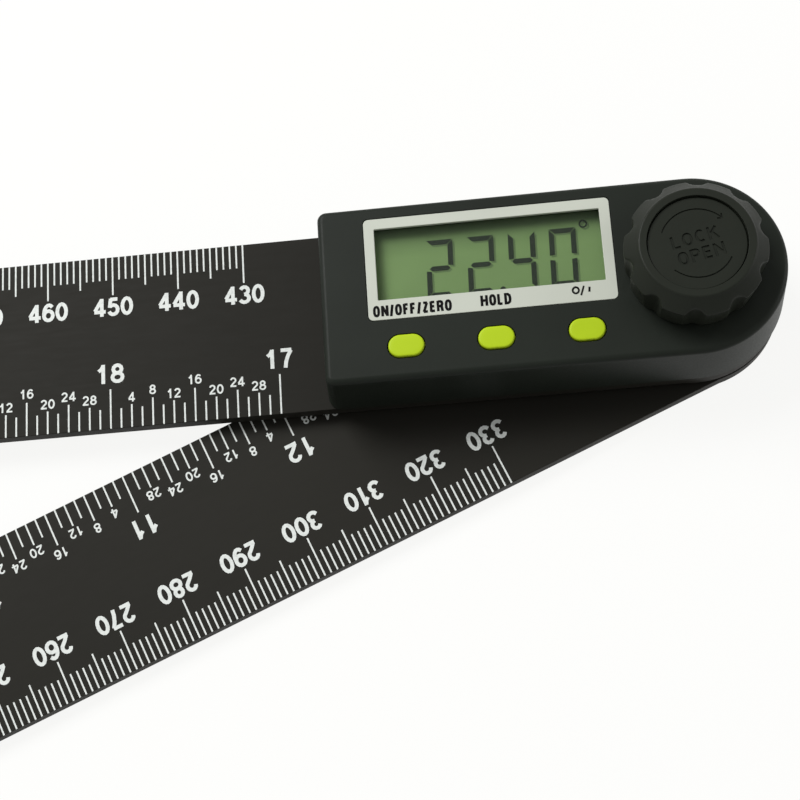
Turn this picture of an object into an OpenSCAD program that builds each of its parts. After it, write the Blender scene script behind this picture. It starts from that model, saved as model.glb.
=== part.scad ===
// Digital angle finder: two flat rule arms that turn on a clamp bolt, under an
// electronics case with a display, three buttons and a clamping knob.
// Millimetres. +Z is up through the display, the upper arm points along -X, and
// the origin is on the pivot axis, in the plane of the lower arm's underside.

/* [Arms] */
// Width of both rule arms
arm_w = 27.3; // [26:0.1:34]
// Thickness of both rule arms
arm_t = 2.2; // [1.9:0.1:3.5]
// Distance from the pivot to the tip of each arm
arm_reach = 366; // [120:1:600]
// Rounding of the arm tips, seen from above
arm_corner = 1.5; // [0.5:0.1:5]
// How far the round hub stands out past the sides of the arms
hub_swell = 0.1; // [0.1:0.1:1.5]
// Angle between the arms as shown
arm_angle = 22.4; // [0:0.1:180]

/* [Case] */
// Width of the case at its foot
case_w = 27.8; // [27.4:0.1:36]
// Distance from the pivot to the square end of the case
case_reach = 53.2; // [52.6:0.1:80]
// Height of the case above the upper arm
case_h = 9.7; // [9.4:0.1:16]
// How far the case walls lean in from foot to top
case_draft = 0.65; // [0:0.05:1]
// Rounding of the top edge of the case
case_edge = 0.9; // [0.4:0.1:1.6]
// Rounding of the upright corners at the square end
case_corner = 1.2; // [0.4:0.1:3]
// Wall of the case at its foot
case_wall = 1.9; // [1.7:0.05:2]
// Roof of the case
case_roof = 1.5; // [1.3:0.1:1.6]

/* [Display] */
// Gap from the square end of the case to the display surround
bezel_end_gap = 7.3; // [7.2:0.1:10]
// Distance from the pivot axis to the display surround
bezel_pivot_gap = 10.7; // [10.5:0.1:13]
// Gap from the far side of the case to the display surround
bezel_edge_gap = 2.65; // [2.5:0.05:4]
// Gap from the buttons' centre line to the display surround
bezel_button_gap = 4.15; // [4:0.05:5]
// Thickness of the display surround
bezel_t = 0.5; // [0.3:0.05:0.6]
// Rounding of the corners of the display surround
bezel_corner = 0.7; // [0.3:0.1:1.5]
// Width of the surround beside the window
rim_end = 1.5; // [1.2:0.1:3]
// Width of the surround above the window
rim_far = 1.6; // [1.4:0.1:2.5]
// Width of the surround below the window, where the legends are
rim_near = 3; // [2.4:0.1:3.5]
// Thickness of the clear lens
lens_t = 0.6; // [0.4:0.1:0.6]
// How much shorter the display glass is than the surround, at each end
lcd_inset_end = 0.6; // [0.5:0.05:1.2]
// How much narrower the display glass is than the surround, at each side
lcd_inset_side = 0.45; // [0.4:0.05:1]
// Thickness of the display glass
lcd_t = 1.8; // [1.2:0.1:2]

/* [Buttons] */
// Length of a button
button_l = 5.1; // [4:0.1:5.6]
// Width of a button
button_w = 3.3; // [2.4:0.1:3.5]
// Spacing of the buttons, as a share of the display surround's length
button_spacing = 0.36; // [0.32:0.01:0.38]
// How far the middle button sits from the surround's middle, towards the pivot
button_shift = 0.15; // [0:0.05:0.5]
// Gap from the near side of the case to the buttons' centre line
button_edge_gap = 5.5; // [5.4:0.1:7]
// How far the buttons stand out of the case
button_proud = 0.35; // [0.2:0.05:0.8]
// Travel of a button
button_travel = 0.5; // [0.3:0.05:0.6]
// Gap round a button in the case
button_gap = 0.17; // [0.1:0.01:0.25]

/* [Pivot] */
// Radius of the clamp bolt
bolt_r = 3; // [2.8:0.1:3.2]
// Radius of the bolt's threaded end
thread_r = 2.5; // [2:0.1:2.6]
// Radius of the flush bolt head
bolt_head_r = 7; // [5.5:0.1:9]
// Thickness of the bolt head
bolt_head_t = 1.2; // [0.8:0.1:1.4]
// Thickness of the slip washer between the arms
arm_washer_t = 0.6; // [0.4:0.05:1]
// Outer radius of the slip washer between the arms
arm_washer_r = 8.2; // [6:0.1:8.2]
// Thickness of the slip washer under the knob
knob_washer_t = 0.5; // [0.4:0.05:0.8]
// Gap between the turning sensor disc and the posts round it
rotor_gap = 0.1; // [0.1:0.05:0.5]

/* [Knob] */
// Radius over the lobes of the knob
knob_r = 9.9; // [9.4:0.1:13]
// Height of the knob
knob_h = 7.15; // [6.6:0.05:10]
// Radius of the knob at its top rim
knob_rim_r = 8.1; // [7.6:0.1:9]
// Number of lobes round the knob
knob_lobes = 10; // [6:1:12]
// Depth of the hollows between the lobes
lobe_depth = 0.85; // [0.5:0.05:1]
// Radius of the sunken disc in the knob
disc_r = 6.77; // [5.5:0.01:6.9]
// How far the disc lies below the knob's rim
disc_sunk = 0.45; // [0.2:0.05:1]
// Thickness of the disc
disc_t = 1; // [0.6:0.1:1.4]

/* [Battery] */
// Radius of the coin cell
cell_r = 10; // [8:0.1:10]
// Height of the coin cell
cell_h = 3.2; // [2:0.1:3.2]
// Distance from the pivot to the cell's axis
cell_back = 29.5; // [28.8:0.1:30]
// Angle that unlocks the battery cover
cover_turn = 30; // [28:1:40]

/* [Inside] */
// Floor of the inner tray
tray_floor = 1.2; // [1:0.1:1.3]
// Height of the tray's rim above the upper arm, which seats the board
board_seat = 4.3; // [4.3:0.05:4.5]
// Thickness of the circuit board
board_t = 0.8; // [0.6:0.1:0.9]
// Radius of the screws that hold the case
screw_r = 1; // [0.8:0.05:1.1]
// Radius of the screws that hold the board
board_screw_r = 0.75; // [0.6:0.05:0.8]

/* [Fits] */
// Radial running clearance on the bolt
running = 0.05; // [0.02:0.01:0.08]
// Clearance of parts that are pressed or dropped in place
seat = 0.02; // [0.01:0.005:0.04]
// Clearance between faces that slide or may move
slip = 0.05; // [0.03:0.01:0.08]
// Clearance of loose parts inside the case
loose = 0.15; // [0.1:0.01:0.2]

/* [Hidden] */
$fn = 96;
big = 200;
tiny = 0.01;

// Heights of the arms and the case
hub_r = arm_w / 2 + hub_swell;
upper_z = arm_t + arm_washer_t;
arm_top = upper_z + arm_t;
case_top = arm_top + case_h;
ceiling = case_top - case_roof;
cavity_half = case_w / 2 - case_wall;
cavity_reach = case_reach - case_wall;
tray_half = cavity_half - loose;
tray_reach = cavity_reach - loose;
tray_wall = 1;
tray_top = arm_top + tray_floor;

// Display surround, its window and the display glass
bezel_l = case_reach - bezel_end_gap - bezel_pivot_gap;
bezel_w = case_w - bezel_edge_gap - bezel_button_gap - button_edge_gap;
bezel_back = bezel_pivot_gap + bezel_l / 2;
bezel_side = case_w / 2 - bezel_edge_gap - bezel_w / 2;
window_l = bezel_l - 2 * rim_end;
window_w = bezel_w - rim_far - rim_near;
window_up = (rim_near - rim_far) / 2;
window_trim = 0.3;
opening_trim = 0.55;
lcd_l = bezel_l - 2 * lcd_inset_end;
lcd_w = bezel_w - 2 * lcd_inset_side;

// Heights inside the case
board_z = arm_top + board_seat;
board_top = board_z + board_t;
lcd_under = 0.5;
lcd_top = ceiling - lcd_under;
lcd_z = lcd_top - lcd_t;
bezel_z = case_top - bezel_t;
lens_z = bezel_z - lens_t;
frame_wall = 0.9;
frame_ledge = 2.2;
strip_w = 1.2;
strip_side = lcd_w / 2 - frame_ledge - loose - strip_w / 2;

// Packages on the board, between the contact strips
chip_h = lcd_z - board_top - 0.1;
chip_side = lcd_w / 3;
chip_step = lcd_l / 4.4;

// Buttons and their switches
button_pitch = bezel_l * button_spacing;
button_middle = -bezel_back + button_shift;
button_x = [button_middle - button_pitch, button_middle, button_middle + button_pitch];
button_y = -case_w / 2 + button_edge_gap;
flange_t = 0.85;
flange_rim = 0.7;
flange_top = ceiling - slip;
button_z = flange_top - flange_t;
button_crown = 0.25;
switch_l = 4.2;
switch_w = 3.2;
switch_h = 1.2;
plunger_r = 0.9;
plunger_top = button_z - button_travel - slip;

// Screws: two at the square end and two beside the pivot, and two in the board
boss_r = 1.7;
screw_head_r = 2;
screw_head_t = 1.1;
end_screw_inset = 2.9;
side_screw_inset = 3;
round_screw_inset = 1.55;
end_screw_x = -cavity_reach + end_screw_inset;
end_screw_y = cavity_half - side_screw_inset;
round_screw_r = cavity_half - round_screw_inset;
pivot_screw_at = round_screw_r * cos(45);
case_screws = [
    [end_screw_x, end_screw_y], [end_screw_x, -end_screw_y],
    [pivot_screw_at, pivot_screw_at], [pivot_screw_at, -pivot_screw_at]
];
screw_top = ceiling - 1.5;
post_r = 1.4;
board_head_t = 0.6;
rotor_r = round_screw_r - boss_r - 2.5 * rotor_gap;
board_screws_at = [[end_screw_x, 0], [rotor_r + rotor_gap + post_r, 0]];

// Battery well and its bayonet lid
cell_x = -cell_back;
well_r = cell_r + 0.25;
well_wall = 0.8;
lip_t = arm_t / 2 - 0.1;
lid_r = cell_r + 1;
plug_r = cell_r + 0.15;
lug_r = lid_r - 0.1;
lug_t = 0.6;
lug_angles = [0, 120, 240];
lug_span = 24;
groove_r = lug_r + 0.15;
groove_t = lug_t + 2 * slip;
plug_top = arm_top + slip + lug_t;
cell_z = plug_top + slip;
cell_top = cell_z + cell_h;
leaf_t = 0.2;
leaf_w = 3.5;
pad_t = 0.25;
coin_slot_l = 13;
coin_slot_w = 1.9;
coin_slot_depth = 0.7;

// Parts on the bolt
neck_r = 4.2;
neck_flat = 3.4;
bush_r = bolt_r + 1.6;
bush_flange_r = bush_r + 1.6;
bush_flange_t = 0.8;
bush_top = arm_top + bush_flange_t;
carrier_z = bush_top + slip;
carrier_r = 4.6;
carrier_flange_r = 6;
rotor_t = 0.8;
rotor_z = board_z - 0.5 - rotor_t;
carrier_top = rotor_z + rotor_t + 0.15;
key_flat = bolt_r - 0.6;
washer_z = case_top + seat;
washer_r = 7.8;
washer_top = washer_z + knob_washer_t;
ring_t = 0.4;
ring_z = washer_top + seat;
ring_r = 4.4;
ring_gap = 3;
groove_depth = 0.5;
thread_z = ring_z + ring_t + 0.3;

// Knob
knob_z = case_top + 0.25;
knob_top = knob_z + knob_h;
knob_recess_r = washer_r + 0.4;
knob_seat = washer_top + seat;
knob_skirt = knob_h - 2.2;
knob_tuck = 0.5;
lobe_phase = 0.31;
rim_round = 0.3;
lobe_hollow_r = 1.6;
disc_z = knob_top - disc_sunk - disc_t;
pocket_r = disc_r + 0.1;
insert_r = 4;
insert_top = disc_z - 0.3;
bolt_top = insert_top - 0.1;

// ---- shared forms -------------------------------------------------------

// Flat outline that is round about the pivot and square, with rounded corners, at -reach
module end_outline(half, reach, corner, round_r) {
    circle(r = round_r);
    translate([-reach + corner, -half]) square([reach - corner, 2 * half]);
    translate([-reach, -half + corner]) square([corner, 2 * (half - corner)]);
    for (side = [-1, 1]) translate([-reach + corner, side * (half - corner)]) circle(r = corner);
}

// Rectangle with rounded corners, centred
module round_rect(l, w, corner) {
    square([l - 2 * corner, w], center = true);
    square([l, w - 2 * corner], center = true);
    for (x = [-1, 1], y = [-1, 1])
        translate([x * (l / 2 - corner), y * (w / 2 - corner)]) circle(r = corner);
}

// Slot shape with round ends, centred, lying along X
module stadium(l, w) {
    square([l - w, w], center = true);
    for (side = [-1, 1]) translate([side * (l - w) / 2, 0]) circle(r = w / 2);
}

// Wedge about the origin from a mean angle, used to cut rings into lugs
module wedge(mean, span, r) {
    polygon([[0, 0], for (a = [-span / 2, 0, span / 2]) 1.3 * r * [cos(mean + a), sin(mean + a)]]);
}

// Ring or disc
module ring(outer, inner, h) {
    difference() {
        cylinder(r = outer, h = h);
        translate([0, 0, -tiny]) cylinder(r = inner, h = h + 2 * tiny);
    }
}

// Lean of the case walls, where the rounding of the top edge starts
case_lean = atan(case_draft / (case_h - case_edge));

// Points up one drafted wall and round the top edge, from the foot to the flat top
function wall_points(foot) = [
    [foot, 0],
    for (i = [0 : 5]) let (a = case_lean + i * (90 - case_lean) / 5)
        [foot - case_draft - case_edge + case_edge * cos(a), case_h - case_edge + case_edge * sin(a)]
];

// Outside of the case: drafted walls, rounded top edge, square end and round end
module case_form() {
    half = case_w / 2;
    side = wall_points(half);
    other_side = [for (i = [len(side) - 1 : -1 : 0]) [-side[i][0], side[i][1]]];
    back = wall_points(case_reach);
    intersection() {
        union() {
            rotate_extrude() polygon(concat([[0, 0]], side, [[0, case_h]]));
            translate([-case_reach, 0, 0]) rotate([90, 0, 90])
                linear_extrude(case_reach) polygon(concat(side, other_side));
        }
        rotate([90, 0, 0]) linear_extrude(2 * case_w, center = true)
            polygon(concat([[big, 0]], [for (p = back) [-p[0], p[1]]], [[big, case_h]]));
        linear_extrude(case_h) end_outline(half, case_reach, case_corner, half);
    }
}

// One rule arm lying along -X, top and bottom flat
module arm_blank() {
    linear_extrude(arm_t) end_outline(arm_w / 2, arm_reach, arm_corner, hub_r);
}

module at_display() {
    translate([-bezel_back, bezel_side, 0]) children();
}

module at_cell() {
    translate([cell_x, 0, 0]) children();
}

module on_lower_arm() {
    rotate([0, 0, arm_angle]) children();
}

// ---- arms and pivot -----------------------------------------------------

module upper_arm() {
    color([0.2, 0.2, 0.18]) difference() {
        translate([0, 0, upper_z]) arm_blank();
        translate([0, 0, upper_z - tiny]) cylinder(r = bush_r + seat, h = arm_t + 2 * tiny);
        at_cell() {
            translate([0, 0, upper_z - tiny]) cylinder(r = lid_r + 0.1, h = arm_t - lip_t + tiny);
            translate([0, 0, upper_z]) cylinder(r = well_r + slip, h = arm_t + tiny);
            translate([0, 0, arm_top - lip_t - tiny]) linear_extrude(lip_t + 2 * tiny)
                for (a = lug_angles) intersection() {
                    circle(r = lug_r + 0.1);
                    wedge(a + cover_turn, lug_span + 3, lug_r);
                }
        }
        for (p = case_screws) translate([p[0], p[1], upper_z - tiny]) {
            cylinder(r = screw_r + 0.15, h = arm_t + 2 * tiny);
            cylinder(r = screw_head_r + 0.1, h = screw_head_t + slip + tiny);
        }
    }
}

module lower_arm() {
    color([0.2, 0.2, 0.18]) on_lower_arm() difference() {
        arm_blank();
        translate([0, 0, -tiny]) cylinder(r = bolt_head_r + slip, h = bolt_head_t + seat + tiny);
        translate([0, 0, -tiny]) linear_extrude(arm_t + 2 * tiny) intersection() {
            circle(r = neck_r + seat);
            square([2 * (neck_r + seat), 2 * (neck_flat + seat)], center = true);
        }
    }
}

module clamp_bolt() {
    color([0.72, 0.72, 0.7]) on_lower_arm() difference() {
        union() {
            cylinder(r = bolt_head_r, h = bolt_head_t);
            linear_extrude(arm_t) intersection() {
                circle(r = neck_r);
                square([2 * neck_r, 2 * neck_flat], center = true);
            }
            cylinder(r = bolt_r, h = thread_z);
            cylinder(r = thread_r, h = bolt_top);
        }
        translate([0, 0, ring_z - seat]) ring(bolt_r + 1, bolt_r - groove_depth, ring_t + 2 * seat);
        translate([key_flat, -bolt_r, carrier_z - slip / 2])
            cube([bolt_r, 2 * bolt_r, carrier_top - carrier_z + slip]);
    }
}

module pivot_bush() {
    color([0.78, 0.62, 0.3]) difference() {
        union() {
            translate([0, 0, upper_z]) cylinder(r = bush_r, h = arm_t);
            translate([0, 0, arm_top]) cylinder(r = bush_flange_r, h = bush_flange_t);
        }
        translate([0, 0, upper_z - tiny]) cylinder(r = bolt_r + running, h = big);
    }
}

module friction_washer() {
    color([0.85, 0.85, 0.8]) translate([0, 0, arm_t + seat])
        ring(arm_washer_r, bolt_r + loose, arm_washer_t - seat);
}

module rotor_carrier() {
    color([0.3, 0.3, 0.32]) on_lower_arm() difference() {
        translate([0, 0, carrier_z]) union() {
            cylinder(r = carrier_r, h = carrier_top - carrier_z);
            translate([0, 0, rotor_z - carrier_z - 0.5]) cylinder(r = carrier_flange_r, h = 0.5);
        }
        translate([0, 0, carrier_z - tiny]) linear_extrude(carrier_top - carrier_z + 2 * tiny)
            intersection() {
                circle(r = bolt_r + seat);
                translate([-bolt_r - 1, -bolt_r - 1])
                    square([bolt_r + 1 + key_flat + seat, 2 * (bolt_r + 1)]);
            }
    }
}

module encoder_rotor() {
    color([0.1, 0.4, 0.2]) on_lower_arm() translate([0, 0, rotor_z])
        ring(rotor_r, carrier_r + seat, rotor_t);
}

module retaining_ring() {
    color([0.3, 0.3, 0.3]) on_lower_arm() translate([0, 0, ring_z]) difference() {
        ring(ring_r, bolt_r - groove_depth + seat, ring_t);
        translate([0, -ring_gap / 2, -tiny]) cube([ring_r + 1, ring_gap, ring_t + 2 * tiny]);
    }
}

module knob_washer() {
    color([0.85, 0.85, 0.8]) translate([0, 0, washer_z])
        ring(washer_r, bolt_r + loose, knob_washer_t);
}

// ---- case ---------------------------------------------------------------

module housing_cover() {
    color([0.2, 0.21, 0.19]) difference() {
        union() {
            difference() {
                translate([0, 0, arm_top]) case_form();
                translate([0, 0, arm_top - tiny]) linear_extrude(ceiling - arm_top + tiny)
                    end_outline(cavity_half, cavity_reach, case_corner / 2, cavity_half);
            }
            for (p = case_screws) translate([p[0], p[1], tray_top + slip])
                cylinder(r = boss_r, h = ceiling - tray_top - slip + case_roof / 2);
        }
        for (p = case_screws) translate([p[0], p[1], tray_top])
            cylinder(r = screw_r + seat, h = screw_top - tray_top + slip);
        at_display() {
            translate([0, 0, lens_z]) linear_extrude(big)
                round_rect(bezel_l + 2 * slip, bezel_w + 2 * slip, bezel_corner + slip);
            translate([0, window_up, ceiling - tiny]) linear_extrude(big)
                square([window_l + 2 * window_trim, window_w + 2 * opening_trim], center = true);
        }
        for (x = button_x) translate([x, button_y, ceiling - tiny]) linear_extrude(big)
            stadium(button_l + 2 * button_gap, button_w + 2 * button_gap);
        translate([0, 0, ceiling - tiny]) cylinder(r = bolt_r + 0.25, h = big);
    }
}

module housing_base() {
    color([0.16, 0.16, 0.16]) difference() {
        union() {
            difference() {
                translate([0, 0, arm_top]) linear_extrude(board_seat)
                    end_outline(tray_half, tray_reach, case_corner / 2, tray_half);
                translate([0, 0, tray_top]) linear_extrude(board_seat)
                    end_outline(tray_half - tray_wall, tray_reach - tray_wall, case_corner / 4,
                                tray_half - tray_wall);
            }
            translate([0, 0, arm_top]) linear_extrude(board_seat - 0.6) intersection() {
                translate([cell_x, 0]) circle(r = well_r + well_wall);
                translate([-tray_reach, -tray_half]) square([tray_reach, 2 * tray_half]);
            }
            for (p = board_screws_at) translate([p[0], p[1], arm_top])
                cylinder(r = post_r, h = board_seat);
        }
        at_cell() {
            translate([0, 0, arm_top - tiny]) cylinder(r = well_r, h = big);
            translate([0, 0, arm_top - tiny]) cylinder(r = groove_r, h = groove_t + tiny);
            translate([cell_r - 0.3, -leaf_w / 2 - 0.5, tray_top]) cube([3, leaf_w + 1, board_seat]);
        }
        translate([0, 0, arm_top - tiny]) cylinder(r = bush_flange_r + loose, h = big);
        for (p = case_screws) translate([p[0], p[1], 0]) {
            translate([0, 0, arm_top - tiny]) cylinder(r = screw_r + 0.15, h = board_seat);
            translate([0, 0, tray_top]) cylinder(r = boss_r + 0.2, h = big);
        }
        for (p = board_screws_at) translate([p[0], p[1], tray_top])
            cylinder(r = board_screw_r + seat, h = big);
    }
}

module display_bezel() {
    color([0.8, 0.81, 0.78]) at_display() translate([0, 0, bezel_z]) linear_extrude(bezel_t)
        difference() {
            round_rect(bezel_l, bezel_w, bezel_corner);
            translate([0, window_up]) square([window_l, window_w], center = true);
        }
}

module display_window() {
    color([0.8, 0.9, 0.85, 0.35]) at_display() translate([0, 0, lens_z]) linear_extrude(lens_t)
        round_rect(bezel_l, bezel_w, bezel_corner);
}

module lcd_panel() {
    color([0.42, 0.54, 0.36]) at_display() {
        translate([0, 0, lcd_z + lcd_t / 4]) cube([lcd_l, lcd_w, lcd_t / 2], center = true);
        translate([0, 0, lcd_z + lcd_t / 2 - tiny]) linear_extrude(lcd_t / 2 + tiny)
            square([lcd_l, lcd_w - 1], center = true);
    }
}

module lcd_frame() {
    color([0.9, 0.9, 0.88]) at_display() difference() {
        translate([0, 0, board_top]) linear_extrude(lcd_top - board_top) round_rect(
            lcd_l + 2 * (loose + frame_wall), lcd_w + 2 * (loose + frame_wall), frame_wall);
        translate([0, 0, lcd_z]) linear_extrude(big)
            square([lcd_l + 2 * loose, lcd_w + 2 * loose], center = true);
        translate([0, 0, board_top - tiny]) linear_extrude(big)
            square([lcd_l - 2 * frame_ledge, lcd_w - 2 * frame_ledge], center = true);
    }
}

module contact_strips() {
    color([0.85, 0.6, 0.55]) at_display() for (side = [-1, 1])
        translate([0, side * strip_side, board_top])
            linear_extrude(lcd_z - board_top)
                square([lcd_l - 2 * frame_ledge - 2 * loose, strip_w], center = true);
}

// ---- board, switches and cell -------------------------------------------

module circuit_board() {
    board_half = tray_half - loose;
    color([0.08, 0.4, 0.2]) difference() {
        translate([0, 0, board_z]) linear_extrude(board_t)
            end_outline(board_half, tray_reach - loose, case_corner / 2, board_half);
        translate([0, 0, board_z - tiny]) {
            cylinder(r = bolt_r + 0.6, h = board_t + 2 * tiny);
            for (p = case_screws) translate([p[0], p[1], 0])
                cylinder(r = boss_r + 0.2, h = board_t + 2 * tiny);
            for (p = board_screws_at) translate([p[0], p[1], 0])
                cylinder(r = board_screw_r + 0.1, h = board_t + 2 * tiny);
        }
    }
}

// Three packages under the display: a square one, a long one and a small one
module board_chips() {
    color([0.12, 0.12, 0.12]) at_display() translate([0, 0, board_top]) linear_extrude(chip_h) {
        translate([chip_step / 2, 0]) square([chip_side, chip_side], center = true);
        translate([-chip_step, chip_side / 4]) square([1.2 * chip_side, chip_side / 3], center = true);
        translate([1.3 * chip_step, -chip_side / 4])
            square([chip_side / 3, chip_side / 4], center = true);
    }
}

module button_switches() {
    color([0.75, 0.75, 0.75]) for (x = button_x) translate([x, button_y, board_top]) {
        linear_extrude(switch_h) square([switch_l, switch_w], center = true);
        cylinder(r = plunger_r, h = plunger_top - board_top);
    }
}

module housing_screws() {
    color([0.6, 0.6, 0.6]) for (p = case_screws) translate([p[0], p[1], upper_z + slip]) {
        cylinder(r = screw_head_r, h = screw_head_t);
        cylinder(r = screw_r, h = screw_top - upper_z - slip);
    }
}

module board_screws() {
    color([0.7, 0.7, 0.7]) for (p = board_screws_at) translate([p[0], p[1], 0]) {
        translate([0, 0, board_top]) cylinder(r = post_r, h = board_head_t);
        translate([0, 0, tray_top + 0.5])
            cylinder(r = board_screw_r, h = board_top - tray_top - 0.5 + tiny);
    }
}

module coin_cell() {
    color([0.8, 0.8, 0.8]) at_cell() translate([0, 0, cell_z]) {
        cylinder(r = cell_r, h = cell_h - 0.4);
        cylinder(r = cell_r - 1.6, h = cell_h);
    }
}

module contact_positive() {
    color([0.85, 0.7, 0.35]) at_cell() {
        translate([cell_r + slip, -leaf_w / 2, cell_z + 0.5])
            cube([leaf_t, leaf_w, board_z - cell_z - 0.5]);
        translate([cell_r + slip, -leaf_w / 2, board_z - pad_t]) cube([2, leaf_w, pad_t]);
    }
}

module contact_negative() {
    color([0.85, 0.7, 0.35]) at_cell() {
        translate([-cell_r / 2, -leaf_w / 2, board_z - pad_t]) cube([cell_r, leaf_w, pad_t]);
        translate([0, 0, cell_top + seat]) cylinder(r = 1.2, h = board_z - cell_top - seat);
    }
}

module battery_cover() {
    color([0.2, 0.2, 0.18]) at_cell() difference() {
        union() {
            translate([0, 0, upper_z + slip]) cylinder(r = lid_r, h = arm_t - lip_t - 2 * slip);
            translate([0, 0, upper_z + slip]) cylinder(r = plug_r, h = plug_top - upper_z - slip);
            translate([0, 0, plug_top - lug_t]) linear_extrude(lug_t) for (a = lug_angles)
                intersection() {
                    circle(r = lug_r);
                    wedge(a, lug_span, lug_r);
                }
        }
        translate([0, 0, upper_z]) linear_extrude(coin_slot_depth + slip)
            stadium(coin_slot_l, coin_slot_w);
    }
}

// ---- buttons ------------------------------------------------------------

// One button: a domed key with a flange that the case roof holds in
module button(i) {
    crown_steps = 4;
    key_top = case_top + button_proud;
    translate([button_x[i], button_y, 0]) {
        translate([0, 0, button_z]) linear_extrude(flange_t)
            stadium(button_l + 2 * flange_rim, button_w + 2 * flange_rim);
        translate([0, 0, button_z]) linear_extrude(key_top - button_crown - button_z)
            stadium(button_l, button_w);
        for (s = [1 : crown_steps]) {
            inset = button_crown * (1 - cos(90 * s / crown_steps));
            translate([0, 0, key_top - button_crown - tiny])
                linear_extrude(button_crown * sin(90 * s / crown_steps) + tiny)
                    stadium(button_l - 2 * inset, button_w - 2 * inset);
        }
    }
}

module power_button() {
    color([0.7, 0.79, 0.2]) button(0);
}

module hold_button() {
    color([0.7, 0.79, 0.2]) button(1);
}

module unit_button() {
    color([0.7, 0.79, 0.2]) button(2);
}

// ---- knob ---------------------------------------------------------------

module lock_knob() {
    color([0.19, 0.2, 0.18]) difference() {
        intersection() {
            translate([0, 0, knob_z]) rotate_extrude() polygon(concat(
                [[0, 0], [knob_r - knob_tuck, 0], [knob_r, knob_skirt]],
                [for (a = [0 : 22.5 : 90])
                    [knob_rim_r - rim_round + rim_round * cos(a),
                     knob_h - rim_round + rim_round * sin(a)]],
                [[0, knob_h]]));
            translate([0, 0, knob_z]) linear_extrude(knob_h) difference() {
                circle(r = knob_r);
                for (i = [0 : knob_lobes - 1]) rotate([0, 0, (i + lobe_phase) * 360 / knob_lobes])
                    translate([knob_r - lobe_depth + lobe_hollow_r, 0]) circle(r = lobe_hollow_r);
            }
        }
        translate([0, 0, knob_z - tiny]) cylinder(r = knob_recess_r, h = knob_seat - knob_z + tiny);
        translate([0, 0, knob_z - tiny]) cylinder(r = ring_r + 0.4, h = thread_z - knob_z + 2 * tiny);
        translate([0, 0, thread_z]) cylinder(r = insert_r + seat, h = insert_top - thread_z + seat);
        translate([0, 0, thread_z]) cylinder(r = thread_r + 0.3, h = big);
        translate([0, 0, disc_z - seat]) cylinder(r = pocket_r, h = big);
    }
}

module knob_insert() {
    color([0.8, 0.65, 0.3]) translate([0, 0, thread_z])
        ring(insert_r, thread_r + running, insert_top - thread_z);
}

module knob_cap() {
    color([0.2, 0.21, 0.19]) translate([0, 0, disc_z]) cylinder(r = disc_r, h = disc_t);
}

// ---- the whole object ---------------------------------------------------

upper_arm();
pivot_bush();
friction_washer();
housing_base();
housing_cover();
display_bezel();
display_window();
lcd_panel();
lcd_frame();
contact_strips();
circuit_board();
board_chips();
button_switches();
board_screws();
housing_screws();
coin_cell();
contact_positive();
contact_negative();
battery_cover();
power_button();
hold_button();
unit_button();
knob_washer();
lower_arm();
clamp_bolt();
retaining_ring();
rotor_carrier();
encoder_rotor();
lock_knob();
knob_insert();
knob_cap();
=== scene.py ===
"""Digital angle finder: two rule arms, a display case and a locking knob.

Every size is in millimetres. A piece is modelled at that size, and is brought down to
metres when it is finished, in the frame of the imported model.
"""

import logging
import math
from dataclasses import dataclass, field
from enum import Enum
from typing import Callable, ClassVar, Sequence

import bpy
from mathutils import Euler, Matrix, Vector

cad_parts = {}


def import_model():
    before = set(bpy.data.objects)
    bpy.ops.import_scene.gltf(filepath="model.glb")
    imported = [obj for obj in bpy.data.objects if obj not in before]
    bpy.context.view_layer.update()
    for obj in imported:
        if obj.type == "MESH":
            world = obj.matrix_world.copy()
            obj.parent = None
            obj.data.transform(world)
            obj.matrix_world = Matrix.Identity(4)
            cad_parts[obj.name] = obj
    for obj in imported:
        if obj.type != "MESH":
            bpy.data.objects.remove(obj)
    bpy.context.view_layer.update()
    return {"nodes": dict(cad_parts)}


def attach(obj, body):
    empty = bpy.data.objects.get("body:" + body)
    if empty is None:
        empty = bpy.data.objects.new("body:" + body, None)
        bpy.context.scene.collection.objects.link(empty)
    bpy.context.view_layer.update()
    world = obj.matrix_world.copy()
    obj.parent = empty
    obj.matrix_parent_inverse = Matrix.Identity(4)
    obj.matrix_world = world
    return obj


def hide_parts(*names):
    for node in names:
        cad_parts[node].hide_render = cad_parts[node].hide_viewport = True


LOG = logging.getLogger("angle_finder")
METRES = 0.001
Point = tuple[float, float]
Seat = tuple[float, float]
Colour = tuple[int, int, int]
Test = Callable[[Vector, Vector], bool]


# ---- the object's main sizes ---------------------------------------------

# Both arms: thickness, width, pivot to tip, and the round end
ARM_T = 2.2
ARM_W = 27.3
ARM_REACH = 366.0
HUB_R = 13.75
# Turn of the lower arm from the upper one, in degrees
ARM_ANGLE = 22.4
# Underside and top of the upper arm, and the case's top
UPPER_Z = 2.8
UPPER_TOP = UPPER_Z + ARM_T
CASE_TOP = 14.7
# Middle of the display and of the coin cell, and the places of the keys and case screws
DISPLAY_CENTRE: Point = (-28.3, 3.5)
CELL_X = -29.5
KEY_X = (-40.82, -28.15, -15.48)
KEY_Y = -8.4
CASE_SCREWS: tuple[Point, ...] = ((-48.4, 9.0), (-48.4, -9.0), (7.39, 7.39), (7.39, -7.39))
INCH = 25.4


class Body(Enum):
    """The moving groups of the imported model."""

    HEAD = "head"
    LOWER_ARM = "lower_arm"
    KNOB = "lock_knob"
    BATTERY_COVER = "battery_cover"
    POWER = "power_button"
    HOLD = "hold_button"
    UNIT = "unit_button"


class Part(Enum):
    """What a selection is made of in edit mode."""

    VERT = "VERT"
    EDGE = "EDGE"
    FACE = "FACE"


# ---- finishes --------------------------------------------------------------


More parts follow.
